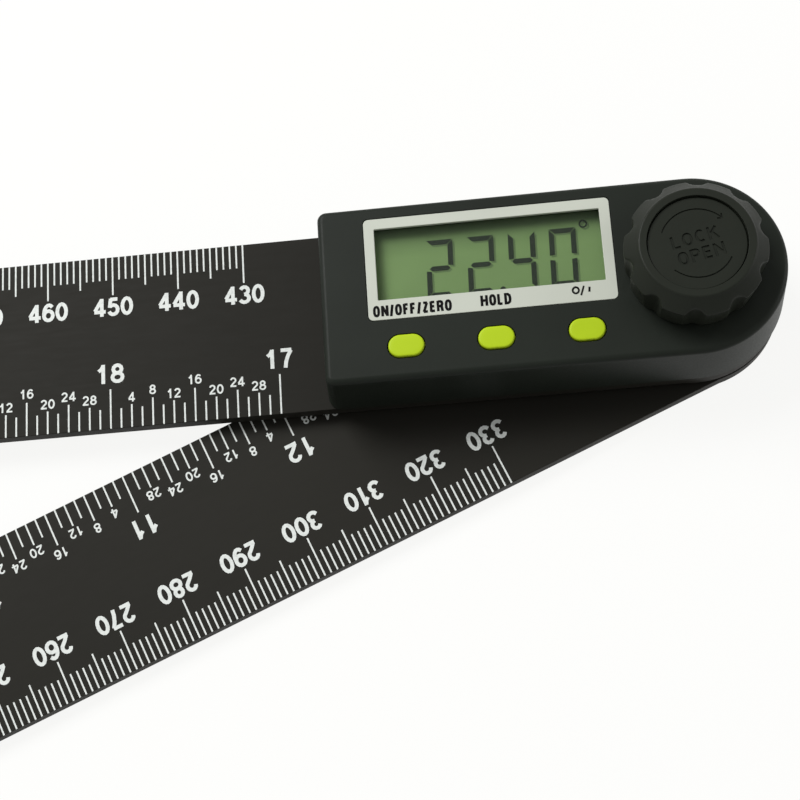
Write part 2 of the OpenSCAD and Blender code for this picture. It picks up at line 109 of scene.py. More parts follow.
def linear(colour: Colour) -> tuple[float, float, float, float]:
    """Turn a screen colour into the linear colour that a shader takes.

    Args:
        colour: Red, green and blue from 0 to 255.

    Returns:
        Linear red, green, blue and an alpha of 1.
    """
    parts = [c / 255.0 for c in colour]
    low = [p / 12.92 if p <= 0.04045 else ((p + 0.055) / 1.055) ** 2.4 for p in parts]
    return (low[0], low[1], low[2], 1.0)


class Sketch:
    """A material's node tree, with short ways to add and join nodes.

    Attributes:
        SPREAD: The values between which nearly all of a noise pattern lies.
    """

    SPREAD = (0.3, 0.7)

    def __init__(self, name: str) -> None:
        """Start an empty material with one Principled shader.

        Args:
            name: The material's name.
        """
        self.material = bpy.data.materials.new(name)
        self.material.use_nodes = True
        self.tree = self.material.node_tree
        self.shader = self.tree.nodes["Principled BSDF"]
        self.place = self.add("ShaderNodeTexCoord").outputs["Object"]

    def add(self, kind: str, **values: object) -> bpy.types.Node:
        """Add a node and set its properties.

        Args:
            kind: The node's type name.
            values: Properties of the node.

        Returns:
            The new node.
        """
        node = self.tree.nodes.new(kind)
        for key, value in values.items():
            setattr(node, key, value)
        return node

    def join(self, out: bpy.types.NodeSocket, into: bpy.types.NodeSocket) -> None:
        """Link one socket to another."""
        self.tree.links.new(out, into)

    def noise(self, scale: float, detail: float = 3.0,
              stretch: tuple[float, float, float] = (1, 1, 1)) -> bpy.types.NodeSocket:
        """Add a noise pattern over the piece's own place.

        Args:
            scale: Cells per metre.
            detail: Octaves of the noise.
            stretch: Scale along each axis.

        Returns:
            The pattern's value.
        """
        mapping = self.add("ShaderNodeMapping")
        mapping.inputs["Scale"].default_value = stretch
        noise = self.add("ShaderNodeTexNoise")
        noise.inputs["Scale"].default_value = scale
        noise.inputs["Detail"].default_value = detail
        self.join(self.place, mapping.inputs["Vector"])
        self.join(mapping.outputs["Vector"], noise.inputs["Vector"])
        return noise.outputs["Fac"]

    def ramp(self, value: bpy.types.NodeSocket, dark: Sequence[float], light: Sequence[float],
             spread: Point = SPREAD) -> bpy.types.NodeSocket:
        """Spread a value between two colours.

        Args:
            value: The value that drives the ramp.
            dark: First colour.
            light: Second colour.
            spread: The values that give the first and the second colour.

        Returns:
            The colour.
        """
        ramp = self.add("ShaderNodeValToRGB")
        ends = ramp.color_ramp.elements
        ends[0].position, ends[0].color = spread[0], dark
        ends[1].position, ends[1].color = spread[1], light
        self.join(value, ramp.inputs["Fac"])
        return ramp.outputs["Color"]

    def range(self, value: bpy.types.NodeSocket, low: float, high: float,
              into: bpy.types.NodeSocket) -> None:
        """Send a noise pattern to a socket, as low to high.

        Args:
            value: The pattern.
            low: What its dark parts give.
            high: What its light parts give.
            into: The socket.
        """
        node = self.add("ShaderNodeMapRange")
        node.inputs["From Min"].default_value = self.SPREAD[0]
        node.inputs["From Max"].default_value = self.SPREAD[1]
        node.inputs["To Min"].default_value = low
        node.inputs["To Max"].default_value = high
        self.join(value, node.inputs["Value"])
        self.join(node.outputs["Result"], into)

    def bump(self, value: bpy.types.NodeSocket, strength: float, depth: float) -> None:
        """Raise the surface by a value, in millimetres of depth.

        Args:
            value: The pattern of heights.
            strength: How much of the bump shows, from 0 to 1.
            depth: Height of the pattern.
        """
        node = self.add("ShaderNodeBump")
        node.inputs["Strength"].default_value = strength
        node.inputs["Distance"].default_value = depth * METRES
        self.join(value, node.inputs["Height"])
        self.join(node.outputs["Normal"], self.shader.inputs["Normal"])


def shade(colour: Colour, factor: float) -> tuple[float, float, float, float]:
    """Lighten or darken a screen colour and make it linear."""
    base = linear(colour)
    return (base[0] * factor, base[1] * factor, base[2] * factor, 1.0)


@dataclass(frozen=True)
class MouldedPlastic:
    """Moulded plastic: a fine spark texture and faint flow mottling."""

    name: str
    colour: Colour
    roughness: float = 0.45
    grain: float = 5200.0
    grain_depth: float = 0.02
    mottling: float = 0.10
    gloss: float = 0.12

    def build(self) -> bpy.types.Material:
        """Make the material.

        Returns:
            The finished material.
        """
        sketch = Sketch(self.name)
        flow = sketch.noise(70.0, 4.0, (1.0, 1.6, 1.0))
        tone = sketch.ramp(flow, shade(self.colour, 1 - self.mottling),
                           shade(self.colour, 1 + self.mottling))
        sketch.join(tone, sketch.shader.inputs["Base Color"])
        grain = sketch.noise(self.grain, 2.0)
        sketch.range(grain, self.roughness - 0.05, self.roughness + 0.06,
                     sketch.shader.inputs["Roughness"])
        sketch.shader.inputs["Specular IOR Level"].default_value = self.gloss
        sketch.bump(grain, 0.35, self.grain_depth)
        return sketch.material


@dataclass(frozen=True)
class RuleStock:
    """Satin black rule stock: drawn along its length, with a trace of fine lines."""

    name: str
    colour: Colour
    turn: float
    roughness: float = 0.5
    gloss: float = 0.06

    def build(self) -> bpy.types.Material:
        """Make the material.

        Returns:
            The finished material.
        """
        sketch = Sketch(self.name)
        mapping = sketch.add("ShaderNodeMapping")
        mapping.inputs["Rotation"].default_value = (0, 0, -math.radians(self.turn))
        sketch.join(sketch.place, mapping.inputs["Vector"])
        sketch.place = mapping.outputs["Vector"]
        flow = sketch.noise(30.0, 4.0, (0.8, 1.4, 1.0))
        tone = sketch.ramp(flow, shade(self.colour, 0.93), shade(self.colour, 1.07))
        sketch.join(tone, sketch.shader.inputs["Base Color"])
        lines = sketch.noise(900.0, 3.0, (0.3, 2.0, 1.0))
        sketch.range(lines, self.roughness - 0.03, self.roughness + 0.04,
                     sketch.shader.inputs["Roughness"])
        sketch.shader.inputs["Specular IOR Level"].default_value = self.gloss
        grain = sketch.noise(4200.0, 2.0)
        sketch.bump(grain, 0.25, 0.015)
        return sketch.material


@dataclass(frozen=True)
class PrintedInk:
    """Screen-printed ink: nearly even, slightly thin in places, with a faint mesh texture."""

    name: str
    colour: Colour
    thin: float = 0.86
    roughness: float = 0.55
    gloss: float = 0.1

    def build(self) -> bpy.types.Material:
        """Make the material.

        Returns:
            The finished material.
        """
        sketch = Sketch(self.name)
        cover = sketch.noise(1800.0, 3.0)
        tone = sketch.ramp(cover, shade(self.colour, self.thin), linear(self.colour),
                           (0.32, 0.52))
        sketch.join(tone, sketch.shader.inputs["Base Color"])
        sketch.shader.inputs["Roughness"].default_value = self.roughness
        sketch.shader.inputs["Specular IOR Level"].default_value = self.gloss
        sketch.bump(sketch.noise(7000.0, 1.0), 0.2, 0.008)
        return sketch.material


@dataclass(frozen=True)
class DisplayGlass:
    """Reflective display: green-grey, with painted shade darkening it under the far rim, and a
    faint rubbing grain.
    """

    name: str
    colour: Colour
    # Colour at the far edge: painted shade, where the rim above the display would shade it.
    edge: Colour
    far_y: float
    near_y: float

    def build(self) -> bpy.types.Material:
        """Make the material.

        Returns:
            The finished material.
        """
        sketch = Sketch(self.name)
        split = sketch.add("ShaderNodeSeparateXYZ")
        sketch.join(sketch.place, split.inputs["Vector"])
        level = sketch.add("ShaderNodeMapRange")
        level.inputs["From Min"].default_value = self.near_y * METRES
        level.inputs["From Max"].default_value = self.far_y * METRES
        sketch.join(split.outputs["Y"], level.inputs["Value"])
        # Painted shade: the colour darkens over the part of the display nearest far_y, as in the
        # rim's shadow.
        tone = sketch.ramp(level.outputs["Result"], linear(self.colour), linear(self.edge),
                           (0.62, 1.0))
        cloud = sketch.ramp(sketch.noise(120.0, 3.0), (0.94, 0.94, 0.94, 1), (1.05, 1.05, 1.05, 1))
        mix = sketch.add("ShaderNodeMix", data_type="RGBA", blend_type="MULTIPLY")
        mix.inputs["Factor"].default_value = 1.0
        sketch.join(tone, mix.inputs["A"])
        sketch.join(cloud, mix.inputs["B"])
        sketch.join(mix.outputs["Result"], sketch.shader.inputs["Base Color"])
        sketch.range(sketch.noise(3000.0, 2.0), 0.42, 0.55, sketch.shader.inputs["Roughness"])
        sketch.shader.inputs["Specular IOR Level"].default_value = 0.05
        return sketch.material


@dataclass(frozen=True)
class ClearLens:
    """Clear flat lens, nearly unseen, with a few hairline marks in its gloss."""

    name: str
    alpha: float = 0.02

    def build(self) -> bpy.types.Material:
        """Make the material.

        Returns:
            The finished material.
        """
        sketch = Sketch(self.name)
        marks = sketch.noise(260.0, 6.0, (1.0, 8.0, 1.0))
        sketch.join(sketch.ramp(marks, (0.30, 0.36, 0.30, 1), (0.38, 0.44, 0.38, 1)),
                    sketch.shader.inputs["Base Color"])
        sketch.range(marks, 0.05, 0.12, sketch.shader.inputs["Roughness"])
        sketch.shader.inputs["Alpha"].default_value = self.alpha
        return sketch.material


@dataclass(frozen=True)
class ShadowFilm:
    """The soft shadow that display bars throw on the reflector behind them."""

    name: str
    colour: Colour
    alpha: float

    def build(self) -> bpy.types.Material:
        """Make the material.

        Returns:
            The finished material.
        """
        sketch = Sketch(self.name)
        tone = sketch.ramp(sketch.noise(500.0, 2.0), shade(self.colour, 0.9),
                           shade(self.colour, 1.1))
        sketch.join(tone, sketch.shader.inputs["Base Color"])
        sketch.shader.inputs["Roughness"].default_value = 0.8
        sketch.shader.inputs["Alpha"].default_value = self.alpha
        return sketch.material


@dataclass(frozen=True)
class PlatedMetal:
    """Turned or rolled metal with fine tool lines and a little uneven plating."""

    name: str
    colour: Colour
    roughness: float = 0.32
    lines: tuple[float, float, float] = (1.0, 6.0, 1.0)

    def build(self) -> bpy.types.Material:
        """Make the material.

        Returns:
            The finished material.
        """
        sketch = Sketch(self.name)
        sketch.shader.inputs["Metallic"].default_value = 1.0
        tone = sketch.ramp(sketch.noise(220.0, 4.0), shade(self.colour, 0.85),
                           shade(self.colour, 1.08))
        sketch.join(tone, sketch.shader.inputs["Base Color"])
        lines = sketch.noise(1500.0, 3.0, self.lines)
        sketch.range(lines, self.roughness - 0.08, self.roughness + 0.1,
                     sketch.shader.inputs["Roughness"])
        sketch.bump(lines, 0.2, 0.008)
        return sketch.material


@dataclass(frozen=True)
class SolderMask:
    """Circuit board lacquer over buried tracks."""

    name: str
    colour: Colour

    def build(self) -> bpy.types.Material:
        """Make the material.

        Returns:
            The finished material.
        """
        sketch = Sketch(self.name)
        tracks = sketch.noise(420.0, 1.0, (1.0, 3.0, 1.0))
        tone = sketch.ramp(tracks, shade(self.colour, 0.75), shade(self.colour, 1.25),
                           (0.48, 0.53))
        sketch.join(tone, sketch.shader.inputs["Base Color"])
        sketch.shader.inputs["Roughness"].default_value = 0.28
        sketch.bump(tracks, 0.3, 0.03)
        return sketch.material


class Finishes:
    """All finishes of the object, each made once."""

    CATALOGUE = {
        "case": MouldedPlastic("case_plastic", (30, 34, 29), 0.42, gloss=0.09),
        "knob": MouldedPlastic("knob_plastic", (34, 37, 31), 0.38, gloss=0.09),
        "lid": MouldedPlastic("lid_plastic", (34, 34, 31), 0.5),
        "tray": MouldedPlastic("tray_plastic", (32, 32, 32), 0.5),
        # Both rule stocks are one material; the lower arm's is painted a little lighter, as painted
        # light for how light falls on it.
        "upper_arm": RuleStock("upper_rule_stock", (34, 33, 29), 0.0),
        "lower_arm": RuleStock("lower_rule_stock", (37, 36, 32), 180.0 + ARM_ANGLE),
        "bezel": MouldedPlastic("surround_plastic", (196, 200, 188), 0.42, grain_depth=0.008,
                                mottling=0.03),
        "button": MouldedPlastic("button_plastic", (176, 202, 32), 0.38, grain_depth=0.008,
                                 mottling=0.05),
        "scale_ink": PrintedInk("scale_ink", (226, 230, 226)),
        "legend_ink": PrintedInk("legend_ink", (12, 12, 12), thin=0.85, gloss=0.05),
        # The display's second colour is painted shade along its far edge.
        "display": DisplayGlass("display_glass", (110, 137, 86), (82, 104, 66), 10.4, -2.0),
        "segments": PrintedInk("display_bars", (36, 44, 34), thin=0.9, gloss=0.03),
        "bar_shadow": ShadowFilm("bar_shadow", (52, 70, 42), 0.3),
        "lens": ClearLens("clear_lens"),
        "frame": MouldedPlastic("display_frame_plastic", (214, 214, 208), 0.5, mottling=0.03),
        "strip": MouldedPlastic("contact_rubber", (196, 150, 142), 0.7, mottling=0.12),
        "board": SolderMask("solder_mask", (22, 92, 48)),
        "chip": MouldedPlastic("package_plastic", (30, 30, 30), 0.6),
        "switch": PlatedMetal("tinned_sheet", (190, 190, 190)),
        "screw": PlatedMetal("zinc_screw", (186, 186, 184), 0.34),
        "cell": PlatedMetal("nickel_cell", (205, 205, 205), 0.22, (1.0, 1.0, 1.0)),
        "contact": PlatedMetal("gilt_contact", (214, 180, 110), 0.28),
        "brass": PlatedMetal("turned_brass", (210, 176, 104), 0.3, (1.0, 1.0, 9.0)),
        "washer": MouldedPlastic("washer_sheet", (222, 222, 214), 0.35, mottling=0.03),
        "bolt": PlatedMetal("turned_bolt", (176, 176, 173), 0.36, (1.0, 1.0, 9.0)),
        "ring": PlatedMetal("oiled_ring", (84, 84, 86), 0.42),
        "carrier": MouldedPlastic("carrier_plastic", (86, 86, 90), 0.5),
    }

    def __init__(self) -> None:
        """Start with no finish made."""
        self.made: dict[str, bpy.types.Material] = {}

    def get(self, name: str) -> bpy.types.Material:
        """Give the finish of that name, and make it when it is first asked for.

        Args:
            name: The finish, as the catalogue calls it.

        Returns:
            Its material.
        """
        if name not in self.made:
            self.made[name] = self.CATALOGUE[name].build()
        return self.made[name]


# ---- the modelling bench ---------------------------------------------------


class Piece:
    """One mesh on the bench, in millimetres, shaped with Blender's own operators."""

    def __init__(self, name: str) -> None:
        """Take the primitive that was just added.

        Args:
            name: The piece's name.
        """
        self.obj = bpy.context.object
        self.obj.name = name
        self.obj.data.name = name

    @staticmethod
    def clear() -> None:
        """Deselect everything in the scene."""
        for obj in list(bpy.context.selected_objects):
            obj.select_set(False)

    @classmethod
    def disc(cls, name: str, radius: float, z: float, at: Point = (0, 0),
             sides: int = 128) -> "Piece":
        """Add a flat filled circle.

        Args:
            name: The piece's name.
            radius: Distance from the middle to its corners.
            z: Its height.
            at: Its middle.
            sides: Number of sides.

        Returns:
            The flat piece.
        """
        cls.clear()
        bpy.ops.mesh.primitive_circle_add(vertices=sides, radius=radius, fill_type="NGON",
                                          location=(at[0], at[1], z))
        bpy.ops.object.transform_apply(location=True, rotation=False, scale=False)
        return cls(name)

    @classmethod
    def sheet(cls, name: str, low: Point, high: Point, z: float) -> "Piece":
        """Add a flat rectangle.

        Args:
            name: The piece's name.
            low: The corner with the lowest x and y.
            high: The corner across from it.
            z: Its height.

        Returns:
            The flat piece.
        """
        cls.clear()
        middle = ((low[0] + high[0]) / 2, (low[1] + high[1]) / 2, z)
        bpy.ops.mesh.primitive_plane_add(size=1, location=middle)
        bpy.context.object.scale = (high[0] - low[0], high[1] - low[1], 1)
        bpy.ops.object.transform_apply(location=True, rotation=False, scale=True)
        return cls(name)

    @classmethod
    def rod(cls, name: str, radius: float, low: float, high: float, at: Point = (0, 0),
            sides: int = 64) -> "Piece":
        """Add an upright cylinder.

        Args:
            name: The piece's name.
            radius: Distance from the axis to its corners.
            low: Height of the underside.
            high: Height of the top.
            at: Place of its axis.
            sides: Number of sides.

        Returns:
            The solid.
        """
        piece = cls.disc(name, radius, low, at, sides)
        piece.raise_solid(high - low)
        return piece

    @classmethod
    def block(cls, name: str, low: Sequence[float], high: Sequence[float]) -> "Piece":
        """Add a block between two corners.

        Args:
            name: The piece's name.
            low: The lowest corner.
            high: The highest corner.

        Returns:
            The solid.
        """
        piece = cls.sheet(name, (low[0], low[1]), (high[0], high[1]), low[2])
        piece.raise_solid(high[2] - low[2])
        return piece

    def mode(self, name: str) -> None:
        """Make this piece active and switch its mode.

        Args:
            name: The mode, as Blender calls it.
        """
        bpy.context.view_layer.objects.active = self.obj
        if self.obj.mode != name:
            bpy.ops.object.mode_set(mode=name)

    def pick(self, part: Part, test: Test) -> None:
        """Select parts by their place and normal, and stay in edit mode.

        Args:
            part: What is selected.
            test: Says from the middle and the normal whether a part is wanted.
        """
        self.clear()
        self.obj.select_set(True)
        self.mode("EDIT")
        bpy.ops.mesh.select_mode(type=part.value)
        bpy.ops.mesh.select_all(action="DESELECT")
        self.mode("OBJECT")
        mesh = self.obj.data
        if part is Part.VERT:
            for vert in mesh.vertices:
                vert.select = test(vert.co, vert.normal)
        elif part is Part.EDGE:
            for edge in mesh.edges:
                one, two = (mesh.vertices[i].co for i in edge.vertices)
                edge.select = test((one + two) / 2, (two - one).normalized())
        else:
            for face in mesh.polygons:
                face.select = test(face.center, face.normal)
        self.mode("EDIT")

    def raise_solid(self, height: float) -> None:
        """Extrude a flat piece into a closed solid, with its normals outwards.

        Args:
            height: How far up it is extruded.
        """
        self.pick(Part.FACE, lambda c, n: True)
        bpy.ops.mesh.extrude_region_move(TRANSFORM_OT_translate={"value": (0, 0, height)})
        self.outward()

    def outward(self) -> None:
        """Turn all faces of a closed solid outwards."""
        self.pick(Part.FACE, lambda c, n: True)
        bpy.ops.mesh.normals_make_consistent(inside=False)
        self.mode("OBJECT")

    def rise(self, test: Test, steps: Sequence[Point]) -> None:
        """Step a face inwards and upwards, as a stack of insets.

        Args:
            test: Picks the face.
            steps: How far each step goes in, and how far up.
        """
        self.pick(Part.FACE, test)
        for inwards, upwards in steps:
            if inwards > 0:
                bpy.ops.mesh.inset(thickness=inwards, depth=upwards, use_even_offset=True)
            else:
                bpy.ops.mesh.extrude_region_move(
                    TRANSFORM_OT_translate={"value": (0, 0, upwards)})
        self.mode("OBJECT")

    def resize(self, part: Part, test: Test, factor: Sequence[float],
               centre: Sequence[float]) -> None:
        """Scale the picked parts about a point.

        Args:
            part: What is picked.
            test: Says which parts are wanted.
            factor: Scale along each axis.
            centre: The point that stays in place.
        """
        self.pick(part, test)
        bpy.ops.transform.resize(value=factor, center_override=centre)
        self.mode("OBJECT")

    def move(self, part: Part, test: Test, step: Sequence[float]) -> None:
        """Move the picked parts.

        Args:
            part: What is picked.
            test: Says which parts are wanted.
            step: How far they go along each axis.
        """
        self.pick(part, test)
        bpy.ops.transform.translate(value=step)
        self.mode("OBJECT")

    def round(self, part: Part, test: Test, width: float, segments: int) -> None:
        """Bevel the picked edges or corners.

        Args:
            part: What is picked.
            test: Says which parts are wanted.
            width: Width of the rounding.
            segments: Faces across the rounding.
        """
        self.pick(part, test)
        affect = "VERTICES" if part is Part.VERT else "EDGES"
        bpy.ops.mesh.bevel(offset=width, offset_type="OFFSET", segments=segments, profile=0.5,
                           affect=affect)
        self.mode("OBJECT")

    def dissolve(self, degrees: float = 0.5) -> None:
        """Drop vertices and edges that lie in a flat face or a straight edge.

        Args:
            degrees: A bend of less than this counts as flat.
        """
        self.pick(Part.FACE, lambda c, n: True)
        bpy.ops.mesh.dissolve_limited(angle_limit=math.radians(degrees))
        self.mode("OBJECT")

    def modify(self, kind: str, **values: object) -> None:
        """Add a modifier with those settings and apply it.

        Args:
            kind: The modifier's type.
            values: Its settings.
        """
        self.clear()
        self.obj.select_set(True)
        self.mode("OBJECT")
        modifier = self.obj.modifiers.new(kind.lower(), kind)
        for key, value in values.items():
            setattr(modifier, key, value)
        bpy.ops.object.modifier_apply(modifier=modifier.name)

    def combine(self, other: "Piece", operation: str, crossing: bool = False) -> None:
        """Run a boolean with another piece, and clear that piece away.

        Args:
            other: The other piece.
            operation: What the boolean does.
            crossing: Whether the other piece runs through itself.
        """
        self.modify("BOOLEAN", operation=operation, object=other.obj, solver="EXACT",
                    use_self=crossing)
        bpy.data.objects.remove(other.obj)

    def cut(self, other: "Piece", crossing: bool = False) -> None:
        """Cut another piece out of this one. A crossing piece runs through itself."""
        self.combine(other, "DIFFERENCE", crossing)

    def fuse(self, other: "Piece") -> None:
        """Join another piece to this one as one solid."""
        self.combine(other, "UNION")

    def absorb(self, others: Sequence["Piece"]) -> None:
        """Put other pieces into this one's mesh, each still its own solid.

        Args:
            others: The pieces that come in.
        """
        self.clear()
        for other in others:
            other.obj.select_set(True)
        self.obj.select_set(True)
        bpy.context.view_layer.objects.active = self.obj
        bpy.ops.object.join()

    def copy(self, name: str) -> "Piece":
        """Give a second piece with its own mesh.

        Args:
            name: The copy's name.

        Returns:
            The copy.
        """
        self.clear()
        twin = self.obj.copy()
        twin.data = self.obj.data.copy()
        bpy.context.scene.collection.objects.link(twin)
        twin.select_set(True)
        bpy.context.view_layer.objects.active = twin
        return Piece(name)

    def shift(self, step: Sequence[float]) -> "Piece":
        """Move the whole mesh."""
        self.move(Part.VERT, lambda c, n: True, step)
        return self

    def turn(self, degrees: float, centre: Point = (0, 0)) -> "Piece":
        """Turn the whole mesh about an upright axis.

        Args:
            degrees: The turn, to the left as seen from above.
            centre: Place of the axis.

        Returns:
            The same piece.
        """
        spin = Matrix.Rotation(math.radians(degrees), 4, "Z")
        there = Matrix.Translation((centre[0], centre[1], 0))
        self.obj.data.transform(there @ spin @ there.inverted())
        return self

    def soften(self, width: float, segments: int = 2, degrees: float = 40.0,
               slide: bool = True) -> None:
        """Round every sharp edge by a little and smooth the rest.

        Args:
            width: Width of the rounding.
            segments: Faces across the rounding.
            degrees: Edges sharper than this are rounded.
            slide: Whether its corners may follow the edges that run up to them, rather
                than keep an even width.
        """
        self.modify("BEVEL", width=width, segments=segments, limit_method="ANGLE",
                    angle_limit=math.radians(degrees), use_clamp_overlap=True,
                    loop_slide=slide)
        self.smooth()

    def smooth(self, degrees: float = 32.0) -> None:
        """Shade smooth up to an angle, with large flat faces kept flat.

        Args:
            degrees: Edges sharper than this stay sharp.
        """
        self.clear()
        self.obj.select_set(True)
        self.mode("OBJECT")
        bpy.ops.object.shade_smooth_by_angle(angle=math.radians(degrees))
        self.modify("WEIGHTED_NORMAL", keep_sharp=True, weight=80)

    def finish(self, material: bpy.types.Material, body: Body, slot: str,
               *replaces: str) -> bpy.types.Object:
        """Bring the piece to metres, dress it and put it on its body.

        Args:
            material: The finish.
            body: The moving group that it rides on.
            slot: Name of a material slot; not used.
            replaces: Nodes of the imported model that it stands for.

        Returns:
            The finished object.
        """
        self.mode("OBJECT")
        self.clear()
        self.obj.select_set(True)
        self.obj.scale = (METRES, METRES, METRES)
        bpy.ops.object.transform_apply(location=False, rotation=False, scale=True)
        self.obj.data.materials.clear()
        self.obj.data.materials.append(material)
        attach(self.obj, body.value)
        if replaces:
            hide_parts(*replaces)
        LOG.info("%s: %d faces on %s", self.obj.name, len(self.obj.data.polygons), body.value)
        return self.obj


def arc(centre: Point, radii: Point, start: float, stop: float, steps: int) -> list[Point]:
    """Give points along an elliptical arc.

    Args:
        centre: Middle of the ellipse.
        radii: Half width and half height.
        start: First angle in degrees.
        stop: Last angle in degrees.
        steps: Number of chords.

    Returns:
        The points, both ends included.
    """
    angles = [math.radians(start + (stop - start) * i / steps) for i in range(steps + 1)]
    return [(centre[0] + radii[0] * math.cos(a), centre[1] + radii[1] * math.sin(a))
            for a in angles]


def polar(radius: float, degrees: float) -> Point:
    """Give the point at a radius and an angle about the pivot."""
    return (radius * math.cos(math.radians(degrees)), radius * math.sin(math.radians(degrees)))


# ---- lettering -------------------------------------------------------------


@dataclass(frozen=True)
class Glyph:
    """A character as centre lines in a unit box, with its width over its height."""

    width: float
    strokes: tuple[tuple[tuple[Point, ...], bool], ...]


def glyph(width: float, *strokes: Sequence[Point]) -> Glyph:
    """Make a glyph. A stroke whose ends meet is closed.

    Args:
        width: Width over height.
        strokes: Centre lines in the unit box.

    Returns:
        The character.
    """
    made = []
    for stroke in strokes:
        closed = math.dist(stroke[0], stroke[-1]) < 1e-6
        points = tuple(stroke[:-1]) if closed else tuple(stroke)
        made.append((points, closed))
    return Glyph(width, tuple(made))


def box_loop(corner: float, low: Point = (0, 0), high: Point = (1, 1)) -> list[Point]:
    """Give a closed loop with rounded corners, as a share of the box.

    Args:
        corner: Rounding, as a share of each side.
        low: The lower left corner.
        high: The upper right corner.

    Returns:
        The loop's points, the first one again at the end.
    """
    points: list[Point] = []
    wide, tall = high[0] - low[0], high[1] - low[1]
    for across, up, start in ((1, 1, 0), (0, 1, 90), (0, 0, 180), (1, 0, 270)):
        centre = (low[0] + wide * (corner if across == 0 else 1 - corner),
                  low[1] + tall * (corner if up == 0 else 1 - corner))
        points += arc(centre, (corner * wide, corner * tall), start, start + 90, 4)
    return points + [points[0]]


SIX = (arc((0.5, 0.31), (0.5, 0.31), 0, 360, 14),
       arc((0.56, 0.42), (0.56, 0.58), 183, 48, 7))

GLYPHS: dict[str, Glyph] = {
    "0": glyph(0.66, arc((0.5, 0.5), (0.5, 0.5), 0, 360, 16)),
    "1": glyph(0.60, [(0.60, -0.09), (0.60, 1.09)], [(0.08, 0.68), (0.40, 0.82), (0.60, 1.02)]),
    "2": glyph(0.66, arc((0.5, 0.72), (0.46, 0.28), 170, -32, 8) + [(0.42, 0.30), (0.06, 0.03)],
               [(-0.08, 0.0), (1.08, 0.0)]),
    "3": glyph(0.66, arc((0.48, 0.755), (0.43, 0.245), 160, -90, 8),
               arc((0.48, 0.26), (0.50, 0.26), 90, -160, 9)),
    "4": glyph(0.70, [(0.70, 1.0), (0.0, 0.29)], [(-0.06, 0.22), (1.12, 0.22)],
               [(0.72, -0.09), (0.72, 1.09)]),
    "5": glyph(0.66, [(0.16, 1.0), (0.96, 1.0)], [(0.20, 1.05), (0.08, 0.46)],
               arc((0.48, 0.31), (0.50, 0.31), 140, -160, 11)),
    "6": glyph(0.66, *SIX),
    "7": glyph(0.64, [(-0.06, 1.0), (1.04, 1.0)],
               [(0.98, 0.97), (0.66, 0.62), (0.46, 0.28), (0.38, -0.09)]),
    "8": glyph(0.66, arc((0.5, 0.76), (0.41, 0.24), 0, 360, 12),
               arc((0.5, 0.26), (0.50, 0.26), 0, 360, 14)),
    "9": glyph(0.66, *[[(1 - x, 1 - y) for x, y in stroke] for stroke in SIX]),
    "O": glyph(0.60, box_loop(0.42)),
    "N": glyph(0.64, [(0, -0.09), (0, 1.09)], [(0.02, 1.0), (0.98, 0.0)], [(1, -0.09), (1, 1.09)]),
    "/": glyph(0.36, [(-0.1, -0.16), (1.1, 1.12)]),
    "F": glyph(0.50, [(0, -0.09), (0, 1.09)], [(0, 1), (1.1, 1)], [(0, 0.52), (0.95, 0.52)]),
    "Z": glyph(0.54, [(-0.05, 1), (1.05, 1)], [(0.95, 1.0), (0.05, 0.0)], [(-0.05, 0), (1.08, 0)]),
    "E": glyph(0.50, [(0, -0.09), (0, 1.09)], [(0, 1), (1.1, 1)], [(0, 0.52), (1.0, 0.52)],
               [(0, 0), (1.12, 0)]),
    "R": glyph(0.60, [(0, -0.09), (0, 1.09)],
               [(0, 1), (0.6, 1), (0.86, 0.94), (0.98, 0.76), (0.86, 0.56), (0.6, 0.48), (0, 0.48)],
               [(0.52, 0.48), (0.84, 0.36), (1.0, -0.09)]),
    "H": glyph(0.64, [(0, -0.09), (0, 1.09)], [(1, -0.09), (1, 1.09)], [(0, 0.52), (1, 0.52)]),
    "L": glyph(0.50, [(0, -0.09), (0, 1.09)], [(0, 0), (1.12, 0)]),
    "D": glyph(0.62, [(0, 0), (0.5, 0), (0.86, 0.14), (1, 0.5), (0.86, 0.86), (0.5, 1), (0, 1),
                      (0, 0)]),
    "C": glyph(0.60, arc((0.5, 0.5), (0.5, 0.5), 48, 312, 12)),
    "K": glyph(0.60, [(0, -0.09), (0, 1.09)], [(1.0, 1.05), (0.05, 0.38)],
               [(0.36, 0.60), (1.05, -0.08)]),
    "P": glyph(0.56, [(0, -0.09), (0, 1.09)],
               [(0, 1), (0.6, 1), (0.9, 0.92), (1, 0.73), (0.9, 0.54), (0.6, 0.45), (0, 0.45)]),
}


@dataclass
class Lettering:
    """How a line of characters is set."""

    height: float
    weight: float
    advance: float
    squeeze: float = 1.0


